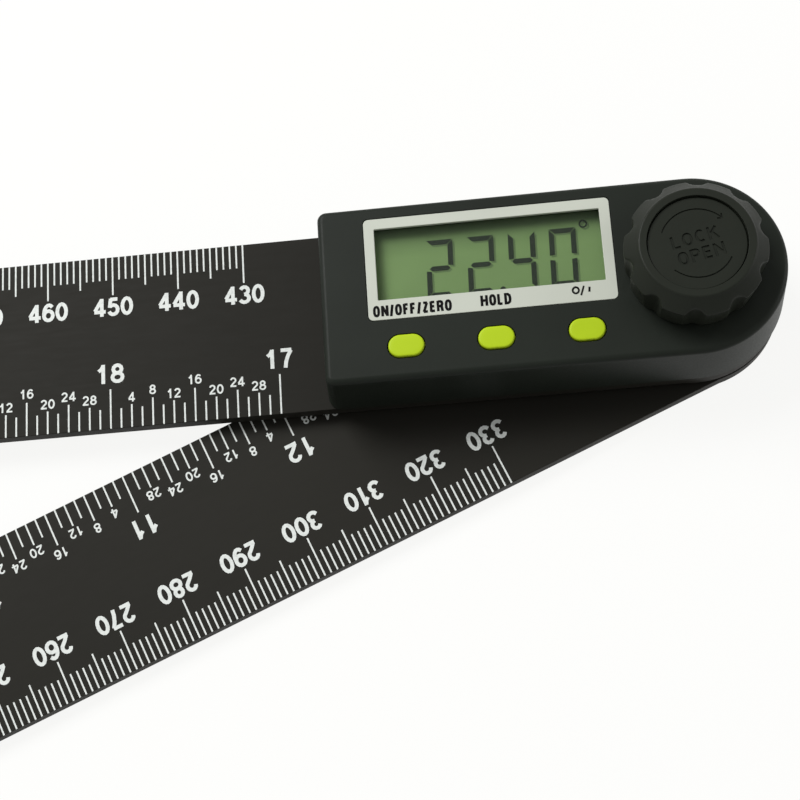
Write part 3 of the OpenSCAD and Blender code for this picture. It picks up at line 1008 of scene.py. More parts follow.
class Stencil:
    """Flat shapes pressed on a face: bars, ticks, rings and characters."""

    LAYER = 0.005

    def __init__(self, low: float, high: float) -> None:
        """Set the heights that the shapes lie between.

        Args:
            low: Height of the underside.
            high: Height of the top.
        """
        self.low = low
        self.high = high
        self.verts: list[tuple[float, float, float]] = []
        self.faces: list[tuple[int, ...]] = []

    def strip(self, left: Sequence[Point], right: Sequence[Point], closed: bool,
              layer: int = 0) -> None:
        """Add a closed solid between two edges.

        Args:
            left: Points of the edge on the left, looking along the strip.
            right: The same number of points on the right.
            closed: Whether the strip is a ring.
            layer: Strips that cross lie on different layers, a hair apart.
        """
        base, count = len(self.verts), len(left)
        for z in (self.high + layer * self.LAYER, self.low - layer * self.LAYER):
            for one, two in zip(left, right):
                self.verts += [(one[0], one[1], z), (two[0], two[1], z)]
        lift = 2 * count
        for i in range(count if closed else count - 1):
            a, b = base + 2 * i, base + 2 * ((i + 1) % count)
            self.faces += [(a, a + 1, b + 1, b), (a + lift, b + lift, b + 1 + lift, a + 1 + lift),
                           (a, b, b + lift, a + lift), (a + 1, a + 1 + lift, b + 1 + lift, b + 1)]
        if not closed:
            a, b = base, base + 2 * (count - 1)
            self.faces += [(a, a + lift, a + 1 + lift, a + 1), (b, b + 1, b + 1 + lift, b + lift)]

    def ribbon(self, points: Sequence[Point], width: float, closed: bool = False,
               layer: int = 0) -> None:
        """Add a band of even width along a line, mitred at its corners.

        Args:
            points: Points of the line.
            width: Width of the band.
            closed: Whether the line is a ring.
            layer: Bands that cross lie on different layers.
        """
        count, half = len(points), width / 2
        left, right = [], []
        for i, here in enumerate(points):
            before = points[(i - 1) % count] if closed or i > 0 else None
            after = points[(i + 1) % count] if closed or i < count - 1 else None
            sides = []
            for one, two in ((before, here), (here, after)):
                if one is not None and two is not None:
                    run = Vector((two[0] - one[0], two[1] - one[1])).normalized()
                    sides.append(Vector((-run.y, run.x)))
            side = sum(sides, Vector((0, 0))).normalized()
            reach = half / max(side.dot(sides[0]), 0.6)
            left.append((here[0] + side.x * reach, here[1] + side.y * reach))
            right.append((here[0] - side.x * reach, here[1] - side.y * reach))
        self.strip(left, right, closed, layer)

    def bar(self, start: Point, stop: Point, width: float, layer: int = 0) -> None:
        """Add one straight bar."""
        self.ribbon([start, stop], width, layer=layer)

    def write(self, text: str, middle: Point, style: Lettering, slant: float = 0.0) -> None:
        """Set a line of characters about a point on its baseline.

        Args:
            text: The characters.
            middle: Middle of the line, on the baseline.
            style: Size, weight and spacing.
            slant: Turn of the whole line, in degrees.
        """
        gap = style.advance
        widths = [GLYPHS[c].width * style.height * style.squeeze for c in text]
        x = -(sum(widths) + gap * (len(text) - 1)) / 2
        spin = Matrix.Rotation(math.radians(slant), 2)
        inner = style.height - style.weight
        for character, wide in zip(text, widths):
            for layer, (points, closed) in enumerate(GLYPHS[character].strokes):
                placed = []
                for u, v in points:
                    flat = Vector((x + style.weight / 2 + u * (wide - style.weight),
                                   style.weight / 2 + v * inner))
                    turned = spin @ flat
                    placed.append((middle[0] + turned.x, middle[1] + turned.y))
                self.ribbon(placed, style.weight, closed, layer)
            x += wide + gap

    def press(self, name: str) -> Piece:
        """Make the piece from all shapes added so far.

        Args:
            name: The piece's name.

        Returns:
            The piece.
        """
        mesh = bpy.data.meshes.new(name)
        mesh.from_pydata(self.verts, [], self.faces)
        mesh.update()
        obj = bpy.data.objects.new(name, mesh)
        bpy.context.scene.collection.objects.link(obj)
        Piece.clear()
        obj.select_set(True)
        bpy.context.view_layer.objects.active = obj
        return Piece(name)


# ---- outlines --------------------------------------------------------------


def round_ended_solid(name: str, half: float, hub: float, reach: float, corner: float,
                      low: float, high: float) -> Piece:
    """Model a slab that is round about the pivot and square at its far end.

    Args:
        name: The piece's name.
        half: Half the width of the straight part.
        hub: Radius of the round end.
        reach: Distance from the pivot to the square end.
        corner: Rounding of the far corners.
        low: Height of the underside.
        high: Height of the top.

    Returns:
        The solid.
    """
    piece = Piece.sheet(name, (-reach, -half), (0, half), low)
    piece.round(Part.VERT, lambda c, n: c.x < -reach + 0.01, corner, 8)
    piece.raise_solid(high - low)
    piece.fuse(Piece.rod("hub", hub, low, high, sides=128))
    piece.dissolve()
    return piece


def capsule_outline(name: str, half: float, reach: float, corner: float, z: float) -> Piece:
    """Make one flat face that is round about the pivot and square at its far end.

    Args:
        name: The piece's name.
        half: Half the width.
        reach: Distance from the pivot to the square end.
        corner: Rounding of the far corners.
        z: Its height.

    Returns:
        The flat piece.
    """
    sides = 128
    piece = Piece.disc(name, half, z, sides=sides)
    stretch = 1 / math.cos(2 * math.pi / sides)
    piece.resize(Part.VERT, lambda c, n: c.x < -0.001, (0, stretch, 1), (-reach, 0, z))
    piece.dissolve()
    piece.round(Part.VERT, lambda c, n: c.x < -reach + 0.01, corner, 8)
    return piece


def stadium(name: str, length: float, width: float, low: float, high: float,
            at: Point) -> Piece:
    """Model an upright slot shape with round ends, lying along X.

    Args:
        name: The piece's name.
        length: Length over its round ends.
        width: Its width.
        low: Height of the underside.
        high: Height of the top.
        at: Its middle.

    Returns:
        The solid.
    """
    sides = 48
    half_step = 180 / sides
    piece = Piece.disc(name, width / 2 / math.cos(math.radians(half_step)), low, at, sides)
    piece.turn(half_step, at)
    run = (length - width) / 2
    piece.move(Part.VERT, lambda c, n: c.x > at[0], (run, 0, 0))
    piece.move(Part.VERT, lambda c, n: c.x < at[0], (-run, 0, 0))
    piece.raise_solid(high - low)
    return piece


def rounded_block(name: str, low: Sequence[float], high: Sequence[float],
                  corner: float) -> Piece:
    """Model a block whose upright edges are rounded.

    Args:
        name: The piece's name.
        low: The lowest corner.
        high: The highest corner.
        corner: Rounding of the upright edges.

    Returns:
        The solid.
    """
    piece = Piece.sheet(name, (low[0], low[1]), (high[0], high[1]), low[2])
    piece.round(Part.VERT, lambda c, n: True, corner, 6)
    piece.raise_solid(high[2] - low[2])
    return piece


def flatted_rod(name: str, radius: float, half: float, low: float, high: float) -> Piece:
    """Model an upright rod on the pivot with two flats, half its width across apart.

    Args:
        name: The piece's name.
        radius: Radius of its round sides.
        half: Distance from the axis to a flat.
        low: Height of the underside.
        high: Height of the top.

    Returns:
        The solid.
    """
    piece = Piece.rod(name, radius, low, high)
    over = radius + 1
    for near, far in ((half, over), (-over, -half)):
        piece.cut(Piece.block("flat", (-over, near, low - 1), (over, far, high + 1)))
    return piece


def quarter(radius: float, steps: int, lean: float = 0.0) -> list[Point]:
    """Give the steps in and up that round an edge over, from a wall's lean to flat.

    Args:
        radius: Radius of the rounding.
        steps: Number of steps.
        lean: The wall's lean, in radians.

    Returns:
        How far each step goes in, and how far up.
    """
    angles = [lean + (math.pi / 2 - lean) * i / steps for i in range(steps + 1)]
    return [(radius * (math.cos(a) - math.cos(b)), radius * (math.sin(b) - math.sin(a)))
            for a, b in zip(angles, angles[1:])]


def top_face(z: float) -> Test:
    """Pick the flat face that looks up at a height."""
    return lambda c, n: n.z > 0.9 and abs(c.z - z) < 0.005


# ---- sub-assemblies --------------------------------------------------------


@dataclass
class RuleArm:
    """A rule arm with its printed scales, built along -X for the upper arm.

    Attributes:
        turn: Turn of the printed face about the pivot, in degrees.
        zero_mm: Where the millimetre scale's zero would stand.
        zero_inch: Where the inch scale's zero would stand.
        MM_MARKS: Length of a millimetre mark, by the step that it stands for.
        INCH_MARKS: Inner end of an inch mark and the baseline of its number, by its step
            in sixteenths.
    """

    MM_MARKS: ClassVar = ((10, 6.2), (5, 5.0), (1, 3.75))
    INCH_MARKS: ClassVar = ((16, -7.5, -6.62), (8, -8.45, -7.85), (4, -9.35, -8.85),
                            (2, -10.1, -9.72), (1, -10.6, None))

    name: str
    body: Body
    finish: str
    low: float
    turn: float
    zero_mm: float
    zero_inch: float
    first_mm: int
    last_mm: int
    first_inch: int
    last_inch: int
    tip_corner: float = 1.5
    edge: float = 0.14
    tick_w: float = 0.24
    ink: float = 0.03
    number_y: float = 4.05
    digits: Lettering = field(default_factory=lambda: Lettering(3.0, 0.56, 0.13, 0.97))
    inch_digits: Lettering = field(default_factory=lambda: Lettering(3.1, 0.56, 0.30, 1.02))
    fractions: Lettering = field(default_factory=lambda: Lettering(1.5, 0.25, 0.15, 1.02))

    @property
    def top(self) -> float:
        """Height of the printed face."""
        return self.low + ARM_T

    def blank(self) -> Piece:
        """Model the flat arm with its hub and tip."""
        return round_ended_solid(self.name + "_stock", ARM_W / 2, HUB_R, ARM_REACH,
                                 self.tip_corner, self.low, self.top)

    def sink(self, piece: Piece, seat: Seat, at: Point, sides: int) -> None:
        """Cut a round seat of that radius and depth into the underside."""
        radius, depth = seat
        piece.cut(Piece.rod("seat", radius, self.low - 1, self.low + depth, at, sides))

    def along(self, reading: float, zero: float) -> float:
        """Say where along the arm a reading stands, towards the reader's right."""
        return zero - reading

    def millimetres(self, stencil: Stencil) -> None:
        """Print the millimetre marks on the far edge and their numbers.

        Args:
            stencil: Takes the marks.
        """
        edge = ARM_W / 2
        for reading in range(self.first_mm, self.last_mm + 1):
            x = self.along(reading, self.zero_mm)
            reach = next(length for step, length in self.MM_MARKS if reading % step == 0)
            stencil.bar((x, edge - reach), (x, edge - 0.02), self.tick_w)
            if reading % 10 == 0 and self.label_fits(x):
                stencil.write(str(reading), (x, self.number_y), self.digits)

    def inches(self, stencil: Stencil) -> None:
        """Print the inch marks on the near edge, in sixteenths, and their numbers.

        Args:
            stencil: Takes the marks.
        """
        edge = -ARM_W / 2 + 0.05
        for count in range(self.first_inch * 16, self.last_inch * 16 + 1):
            x = self.along(count * INCH / 16, self.zero_inch)
            part = count % 16
            top, base = next((end, line) for step, end, line in self.INCH_MARKS
                             if part % step == 0)
            stencil.bar((x, edge), (x, top), self.tick_w)
            if base is None or (part == 0 and not self.label_fits(x)):
                continue
            text = str(count // 16) if part == 0 else str(32 - 2 * part)
            stencil.write(text, (x, base), self.inch_digits if part == 0 else self.fractions)

    def label_fits(self, x: float) -> bool:
        """Say whether a number stands clear of the arm's tip."""
        return abs(x) < ARM_REACH - 4

    def scales(self) -> Piece:
        """Make both printed scales as one piece.

        Returns:
            The printed piece, turned with the arm.
        """
        stencil = Stencil(self.top - 0.01, self.top + self.ink)
        self.millimetres(stencil)
        self.inches(stencil)
        piece = stencil.press(self.name + "_scales")
        return piece.turn(self.turn)


@dataclass
class UpperArm(RuleArm):
    """The arm that carries the case, with the well for its coin cell.

    Attributes:
        edge: Rounding of its edges, narrow enough for the small bores to take it whole.
        bush_r: Radius of the bore for the pivot's bush.
        lid_seat: Seat of the battery lid.
        well_r: Radius of the coin cell's well.
        screw_r: Radius of the way for a case screw.
        screw_seat: Seat of its head.
    """

    edge: float = 0.1
    bush_r: float = 4.62
    lid_seat: Seat = (11.1, 1.2)
    well_r: float = 10.3
    screw_r: float = 1.15
    screw_seat: Seat = (2.1, 1.15)

    def build(self, finishes: Finishes) -> None:
        """Model the arm with its bores, and print its scales.

        Args:
            finishes: The object's finishes.
        """
        piece = self.blank()
        piece.cut(Piece.rod("bore", self.bush_r, self.low - 1, self.top + 1))
        self.sink(piece, self.lid_seat, (CELL_X, 0), 96)
        piece.cut(Piece.rod("well", self.well_r, self.low, self.top + 1, (CELL_X, 0), 96))
        for at in CASE_SCREWS:
            piece.cut(Piece.rod("screw_way", self.screw_r, self.low - 1, self.top + 1, at, 32))
            self.sink(piece, self.screw_seat, at, 40)
        piece.soften(self.edge, slide=False)
        piece.finish(finishes.get(self.finish), self.body, "arm_black", "upper_arm")
        self.scales().finish(finishes.get("scale_ink"), self.body, "arm_black")


@dataclass
class LowerArm(RuleArm):
    """The arm that turns under the other one, keyed to the bolt."""

    head_seat: Seat = (7.05, 1.22)
    key_r: float = 4.22
    key_half: float = 3.42

    def build(self, finishes: Finishes) -> None:
        """Model the arm with the seat for the bolt's head, and print its scales.

        Args:
            finishes: The object's finishes.
        """
        piece = self.blank()
        self.sink(piece, self.head_seat, (0, 0), 96)
        piece.cut(flatted_rod("key", self.key_r, self.key_half, self.low, self.top + 1))
        piece.soften(self.edge)
        piece.turn(ARM_ANGLE)
        piece.finish(finishes.get(self.finish), self.body, "arm_black", "lower_arm")
        self.scales().finish(finishes.get("scale_ink"), self.body, "arm_black")


@dataclass
class CaseShell:
    """The moulded case: drafted walls, a rounded top edge, and its openings."""

    half: float = 13.9
    reach: float = 53.2
    draft: float = 0.65
    edge: float = 0.9
    corner: float = 1.95
    foot: float = 0.3
    seam: float = 0.3
    roof_z: float = 13.2
    inner: tuple[float, float, float] = (12.0, 51.3, 0.6)
    pocket: Point = (17.7, 7.85)
    pocket_z: float = 13.6
    pocket_corner: float = 0.8
    opening: tuple[float, float, float] = (16.4, -5.3, 6.7)
    key_way: Point = (5.44, 3.64)
    bolt_way: float = 3.25

    def shell(self) -> Piece:
        """Model the outside: a recessed foot, leaning walls and a rounded top edge.

        Returns:
            The closed outside.
        """
        base, strip = UPPER_TOP + self.foot, 0.1
        piece = capsule_outline("case_shell", self.half, self.reach, self.corner, base)
        piece.raise_solid(strip)
        lean = math.atan(self.draft / (CASE_TOP - UPPER_TOP - self.edge))
        wall = CASE_TOP - base - strip - self.edge * (1 - math.sin(lean))
        steps = [(self.draft / 4, wall / 4)] * 4 + quarter(self.edge, 8, lean)
        piece.rise(top_face(base + strip), steps)
        foot = capsule_outline("foot", self.half - self.seam, self.reach - self.seam,
                               self.corner - self.seam, UPPER_TOP)
        foot.raise_solid(self.foot + 2 * strip)
        piece.fuse(foot)
        return piece

    def build(self, finishes: Finishes) -> None:
        """Model the shell and cut its openings.

        Args:
            finishes: The object's finishes.
        """
        piece = self.shell()
        low, high = self.roof_z - 1, CASE_TOP + 1
        cavity = capsule_outline("cavity", *self.inner, UPPER_TOP - 1)
        cavity.raise_solid(self.roof_z - UPPER_TOP + 1)
        piece.cut(cavity)
        x, y = DISPLAY_CENTRE
        half_l, half_w = self.pocket
        piece.cut(rounded_block("pocket", (x - half_l, y - half_w, self.pocket_z),
                                (x + half_l, y + half_w, high), self.pocket_corner))
        half_l, near, far = self.opening
        piece.cut(Piece.block("opening", (x - half_l, y + near, low),
                              (x + half_l, y + far, self.pocket_z + 0.4)))
        for along in KEY_X:
            piece.cut(stadium("key_way", *self.key_way, low, high, (along, KEY_Y)))
        piece.cut(Piece.rod("bolt_way", self.bolt_way, low, high))
        piece.soften(0.07)
        piece.finish(finishes.get("case"), Body.HEAD, "case_black", "housing_cover")


@dataclass
class Surround:
    """The pale display surround, with its button legends."""

    length: float = 35.2
    width: float = 15.5
    low: float = 14.2
    corner: float = 0.75
    window_low: Point = (-44.4, -1.25)
    window_high: Point = (-12.2, 9.65)
    window_corner: float = 0.12
    legend: Lettering = field(default_factory=lambda: Lettering(1.72, 0.38, 0.16, 0.96))
    legends_at: tuple[tuple[str, Point], ...] = (("ON/OFF/ZERO", (-39.62, -3.78)),
                                                 ("HOLD", (-27.78, -3.62)))
    unit_ring: Point = (-16.55, -2.47)
    unit_bars: tuple[tuple[Point, Point, float], ...] = (
        ((-15.86, -3.28), (-15.38, -1.9), 0.26), ((-14.68, -2.86), (-14.6, -2.12), 0.30))

    def build(self, finishes: Finishes) -> None:
        """Model the ring-shaped surround and print its legends.

        Args:
            finishes: The object's finishes.
        """
        x, y = DISPLAY_CENTRE
        low = (x - self.length / 2, y - self.width / 2)
        high = (x + self.length / 2, y + self.width / 2)
        piece = rounded_block("display_surround", (*low, self.low), (*high, CASE_TOP),
                              self.corner)
        piece.cut(rounded_block("window", (*self.window_low, self.low - 1),
                                (*self.window_high, CASE_TOP + 1), self.window_corner))
        piece.soften(0.09, 3)
        piece.finish(finishes.get("bezel"), Body.HEAD, "bezel_grey", "display_bezel")
        self.legends().finish(finishes.get("legend_ink"), Body.HEAD, "bezel_grey")

    def legends(self) -> Piece:
        """Print the words and signs over the buttons.

        Returns:
            The printed piece.
        """
        stencil = Stencil(CASE_TOP - 0.01, CASE_TOP + 0.02)
        for words, middle in self.legends_at:
            stencil.write(words, middle, self.legend)
        ring = arc(self.unit_ring, (0.43, 0.46), 0, 360, 20)[:-1]
        stencil.ribbon(ring, 0.28, closed=True)
        for start, stop, width in self.unit_bars:
            stencil.bar(start, stop, width)
        return stencil.press("display_legends")


@dataclass
class Display:
    """The display behind the lens, with its bars, their shadows and the degree ring."""

    length: float = 34.0
    width: float = 14.6
    low: float = 10.9
    step_z: float = 11.8
    high: float = 12.7
    ledge: float = 0.5
    digit_w: float = 3.85
    digit_h: float = 8.8
    bar_w: float = 0.74
    base_y: float = -0.82
    lean: float = 0.03
    reading: tuple[tuple[str, float], ...] = (("2", -35.35), ("2", -29.46), ("4", -23.54),
                                              ("0", -17.68))
    lit: dict[str, str] = field(default_factory=lambda: {"2": "abged", "4": "fgbc",
                                                         "0": "abcdef"})
    point: Point = (-26.62, -0.5)
    degree: Point = (-14.5, 8.36)
    shadow: Point = (0.28, -0.30)

    def build(self, finishes: Finishes) -> None:
        """Model the glass with its step, and lay the bars on it.

        Args:
            finishes: The object's finishes.
        """
        x, y = DISPLAY_CENTRE
        half_l, half_w = self.length / 2, self.width / 2
        piece = Piece.block("display_glass", (x - half_l, y - half_w, self.low),
                            (x + half_l, y + half_w, self.step_z))
        piece.rise(top_face(self.step_z), [(self.ledge, 0.0), (0.0, self.high - self.step_z)])
        piece.soften(0.05)
        piece.finish(finishes.get("display"), Body.HEAD, "lcd_green", "lcd_panel")
        shade_film = Stencil(self.high - 0.002, self.high + 0.004)
        self.bars(shade_film, self.shadow)
        shade_film.press("display_bar_shadows").finish(finishes.get("bar_shadow"), Body.HEAD,
                                                       "lcd_green")
        bars = Stencil(self.high + 0.006, self.high + 0.03)
        self.bars(bars, (0, 0))
        bars.press("display_bars").finish(finishes.get("segments"), Body.HEAD, "lcd_green")

    def bars(self, stencil: Stencil, shift: Point) -> None:
        """Lay the reading, its point and the degree ring.

        Args:
            stencil: Takes the bars.
            shift: How far they lie aside, as their shadows do.
        """
        for character, middle in self.reading:
            for name in self.lit[character]:
                self.segment(stencil, name, (middle + shift[0], shift[1]))
        dot = arc((self.point[0] + shift[0], self.point[1] + shift[1]), (0.42, 0.42), 0, 360, 16)
        half = len(dot) // 2
        stencil.strip(dot[:half + 1], dot[half:][::-1], False)
        ring = arc((self.degree[0] + shift[0], self.degree[1] + shift[1]), (0.5, 0.5), 0, 360,
                   24)[:-1]
        stencil.ribbon(ring, 0.26, closed=True)

    def segment(self, stencil: Stencil, name: str, at: Point) -> None:
        """Lay one bar of a digit, with mitred ends.

        Args:
            stencil: Where the bar goes.
            name: The bar's letter, from a to g.
            at: Middle of the digit along the display, and the shift up.
        """
        half, tall, w, gap = self.digit_w / 2, self.digit_h, self.bar_w, 0.07
        middle = tall / 2
        shapes = {
            "a": ([(-half + gap, tall), (half - gap, tall)], [(-half + w + gap, tall - w),
                                                              (half - w - gap, tall - w)]),
            "d": ([(half - gap, 0), (-half + gap, 0)], [(half - w - gap, w), (-half + w + gap, w)]),
            "b": ([(half, tall - gap), (half, middle + gap + w * 0.35)],
                  [(half - w, tall - w - gap), (half - w, middle + w / 2 + gap)]),
            "c": ([(half, middle - gap - w * 0.35), (half, gap)],
                  [(half - w, middle - w / 2 - gap), (half - w, w + gap)]),
            "e": ([(-half, gap), (-half, middle - gap - w * 0.35)],
                  [(-half + w, w + gap), (-half + w, middle - w / 2 - gap)]),
            "f": ([(-half, middle + gap + w * 0.35), (-half, tall - gap)],
                  [(-half + w, middle + w / 2 + gap), (-half + w, tall - w - gap)]),
            "g": ([(-half + w * 0.5 + gap, middle), (-half + w + gap, middle + w / 2),
                   (half - w - gap, middle + w / 2), (half - w * 0.5 - gap, middle)],
                  [(-half + w * 0.5 + gap, middle - 0.02), (-half + w + gap, middle - w / 2),
                   (half - w - gap, middle - w / 2), (half - w * 0.5 - gap, middle - 0.02)]),
        }
        sides = [[(x + at[0] + self.lean * (y - middle), y + self.base_y + at[1]) for x, y in side]
                 for side in shapes[name]]
        stencil.strip(sides[0], sides[1], False)


@dataclass
class PushButton:
    """One lime key, domed on top, with the flange that the case holds."""

    name: str
    body: Body
    x: float
    length: float = 5.1
    width: float = 3.3
    flange: float = 0.7
    flange_t: float = 0.85
    low: float = 12.3
    proud: float = 0.02
    edge: float = 0.3
    crown: float = 0.03

    def build(self, finishes: Finishes) -> None:
        """Model the flange, the key and its crown.

        Args:
            finishes: The object's finishes.
        """
        size = (self.length + 2 * self.flange, self.width + 2 * self.flange)
        shoulder = self.low + self.flange_t
        piece = stadium(self.name + "_key", *size, self.low, shoulder, (self.x, KEY_Y))
        steps = [(self.flange, 0.0), (0.0, CASE_TOP - shoulder + self.proud)]
        piece.rise(top_face(shoulder), steps + quarter(self.edge, 5) + [(0.5, self.crown)])
        piece.smooth(50)
        piece.finish(finishes.get("button"), self.body, "button_lime", self.name)


@dataclass
class LockKnob:
    """The lobed clamping knob and the sunken disc in its top.

    Attributes:
        first_hollow: Angle of one hollow, in degrees.
        hollow_r: Radius of a hollow's arc.
        blend: How softly a hollow runs out into the lobes.
        tuck: How far the walls draw in below the widest edge.
        pocket: Radius and floor of the pocket for the disc.
        rooms: Radius, ceiling and sides of each bore from below, for the washer, the ring
            and the thread.
        slant: Turn of the words on the disc, in degrees.
        arrow_r: Radius of the turning arrows.
        profile: Radius and height of each ring of the skirt.
    """

    low: float = 14.95
    top: float = 22.1
    lobe_r: float = 9.9
    lobes: int = 10
    per_lobe: int = 24
    first_hollow: float = 11.16
    hollow_r: float = 1.6
    hollow_depth: float = 0.85
    blend: float = 0.3
    tuck: float = 0.5
    pocket: Point = (6.87, 20.6)
    rooms: tuple[tuple[float, float, int], ...] = ((8.1, 15.24, 96), (4.8, 15.94, 64),
                                                   (4.02, 20.37, 64))
    disc_r: float = 6.77
    disc_low: float = 20.65
    disc_top: float = 21.65
    disc_edge: float = 0.16
    engraved: float = 0.2
    slant: float = 11.0
    style: Lettering = field(default_factory=lambda: Lettering(1.95, 0.36, 0.36, 1.22))
    words: tuple[tuple[str, Point], ...] = (("LOCK", (-0.1, -0.1)), ("OPEN", (0.1, -2.62)))
    arrow_r: float = 5.0
    line: float = 0.2

    profile: tuple[Point, ...] = (
        (9.43, 15.25), (9.5, 15.9), (9.6, 16.9), (9.7, 17.9), (9.8, 18.9), (9.86, 19.5),
        (9.88, 19.75), (9.84, 19.93), (9.68, 20.12), (9.35, 20.45), (9.0, 20.82), (8.65, 21.2),
        (8.35, 21.52), (8.16, 21.73), (8.09, 21.86), (7.99, 21.99), (7.87, 22.07), (7.72, 22.1))

    def hollow(self, phase: float) -> float:
        """Say how far out the knob reaches at an angle from the middle of a hollow.

        Args:
            phase: Angle in radians.

        Returns:
            The radius, or a large number beside the hollow.
        """
        centre = self.lobe_r - self.hollow_depth + self.hollow_r
        under = self.hollow_r ** 2 - (centre * math.sin(phase)) ** 2
        if under <= 0:
            spill = abs(centre * math.sin(phase)) - self.hollow_r
            return centre * math.cos(phase) + 2.5 * spill
        return centre * math.cos(phase) - math.sqrt(under)

    def softened(self, one: float, two: float) -> float:
        """Give the smaller of two radii, with a soft change between them."""
        share = max(self.blend - abs(one - two), 0.0) / self.blend
        return min(one, two) - share * share * self.blend / 4

    def body_solid(self) -> Piece:
        """Model the knob's skirt by steps, then press the hollows in.

        Returns:
            The solid skirt.
        """
        sides = self.lobes * self.per_lobe
        first, height = self.profile[0]
        piece = Piece.disc("knob_body", self.lobe_r - self.tuck, self.low, sides=sides)
        piece.turn(self.first_hollow)
        piece.raise_solid(height - self.low)
        radius, top = self.lobe_r - self.tuck, height
        for wanted, level in self.profile:
            if level > top:
                piece.rise(top_face(top), [(0.0, level - top)])
            factor = wanted / radius
            piece.resize(Part.FACE, top_face(level), (factor, factor, 1), (0, 0, level))
            radius, top = wanted, level
        self.press_hollows(piece)
        return piece

    def press_hollows(self, piece: Piece) -> None:
        """Draw each ring of the skirt in where the hollows run.

        Args:
            piece: The skirt.
        """
        pitch = 2 * math.pi / self.lobes
        first = math.radians(self.first_hollow)
        rings = [(self.lobe_r - self.tuck, self.low)] + list(self.profile)
        for radius, height in rings:
            for step in range(self.per_lobe // 2 + 1):
                phase = step * pitch / self.per_lobe
                wanted = self.softened(radius, self.hollow(phase))
                if wanted > radius - 0.004:
                    continue

                def here(c: Vector, n: Vector, z: float = height, p: float = phase) -> bool:
                    """Pick the ring's points at this angle from a hollow.

                    Args:
                        c: A corner's place.
                        n: Its normal.
                        z: Height of the ring.
                        p: Angle from the middle of a hollow.

                    Returns:
                        Whether the corner is wanted.
                    """
                    if abs(c.z - z) > 0.004:
                        return False
                    turn = (math.atan2(c.y, c.x) - first + pitch / 2) % pitch - pitch / 2
                    return abs(abs(turn) - p) < 0.004

                factor = wanted / radius
                piece.resize(Part.VERT, here, (factor, factor, 1), (0, 0, height))

    def build(self, finishes: Finishes) -> None:
        """Model the knob and its disc.

        Args:
            finishes: The object's finishes.
        """
        piece = self.body_solid()
        piece.cut(Piece.rod("pocket", *self.pocket, self.top + 1, sides=128))
        for radius, ceiling, sides in self.rooms:
            piece.cut(Piece.rod("room", radius, self.low - 1, ceiling, sides=sides))
        piece.soften(0.05, 2, 50)
        piece.finish(finishes.get("knob"), Body.KNOB, "knob_black", "lock_knob")
        shoulder = self.disc_top - self.disc_edge
        disc = Piece.rod("knob_disc", self.disc_r, self.disc_low, shoulder, sides=128)
        disc.rise(top_face(shoulder), quarter(self.disc_edge, 4))
        disc.cut(self.lettering(), crossing=True)
        disc.smooth()
        disc.finish(finishes.get("knob"), Body.KNOB, "knob_black", "knob_cap")

    def lettering(self) -> Piece:
        """Give the cutter for the two words and the turning arrows.

        Returns:
            The cutter.
        """
        stencil = Stencil(self.disc_top - self.engraved, self.disc_top + 0.10)
        spin = Matrix.Rotation(math.radians(self.slant), 2)
        for word, place in self.words:
            middle = spin @ Vector(place)
            stencil.write(word, (middle.x, middle.y), self.style, self.slant)
        for start, stop in ((157, 42), (226, 331)):
            stencil.ribbon(arc((0, 0), (self.arrow_r, self.arrow_r), start, stop, 32), self.line)
        for layer, aside in ((1, -0.45), (2, 0.45)):
            stencil.bar(polar(self.arrow_r, 41.5), polar(self.arrow_r + aside, 48.0), self.line,
                        layer)
        return stencil.press("knob_lettering")


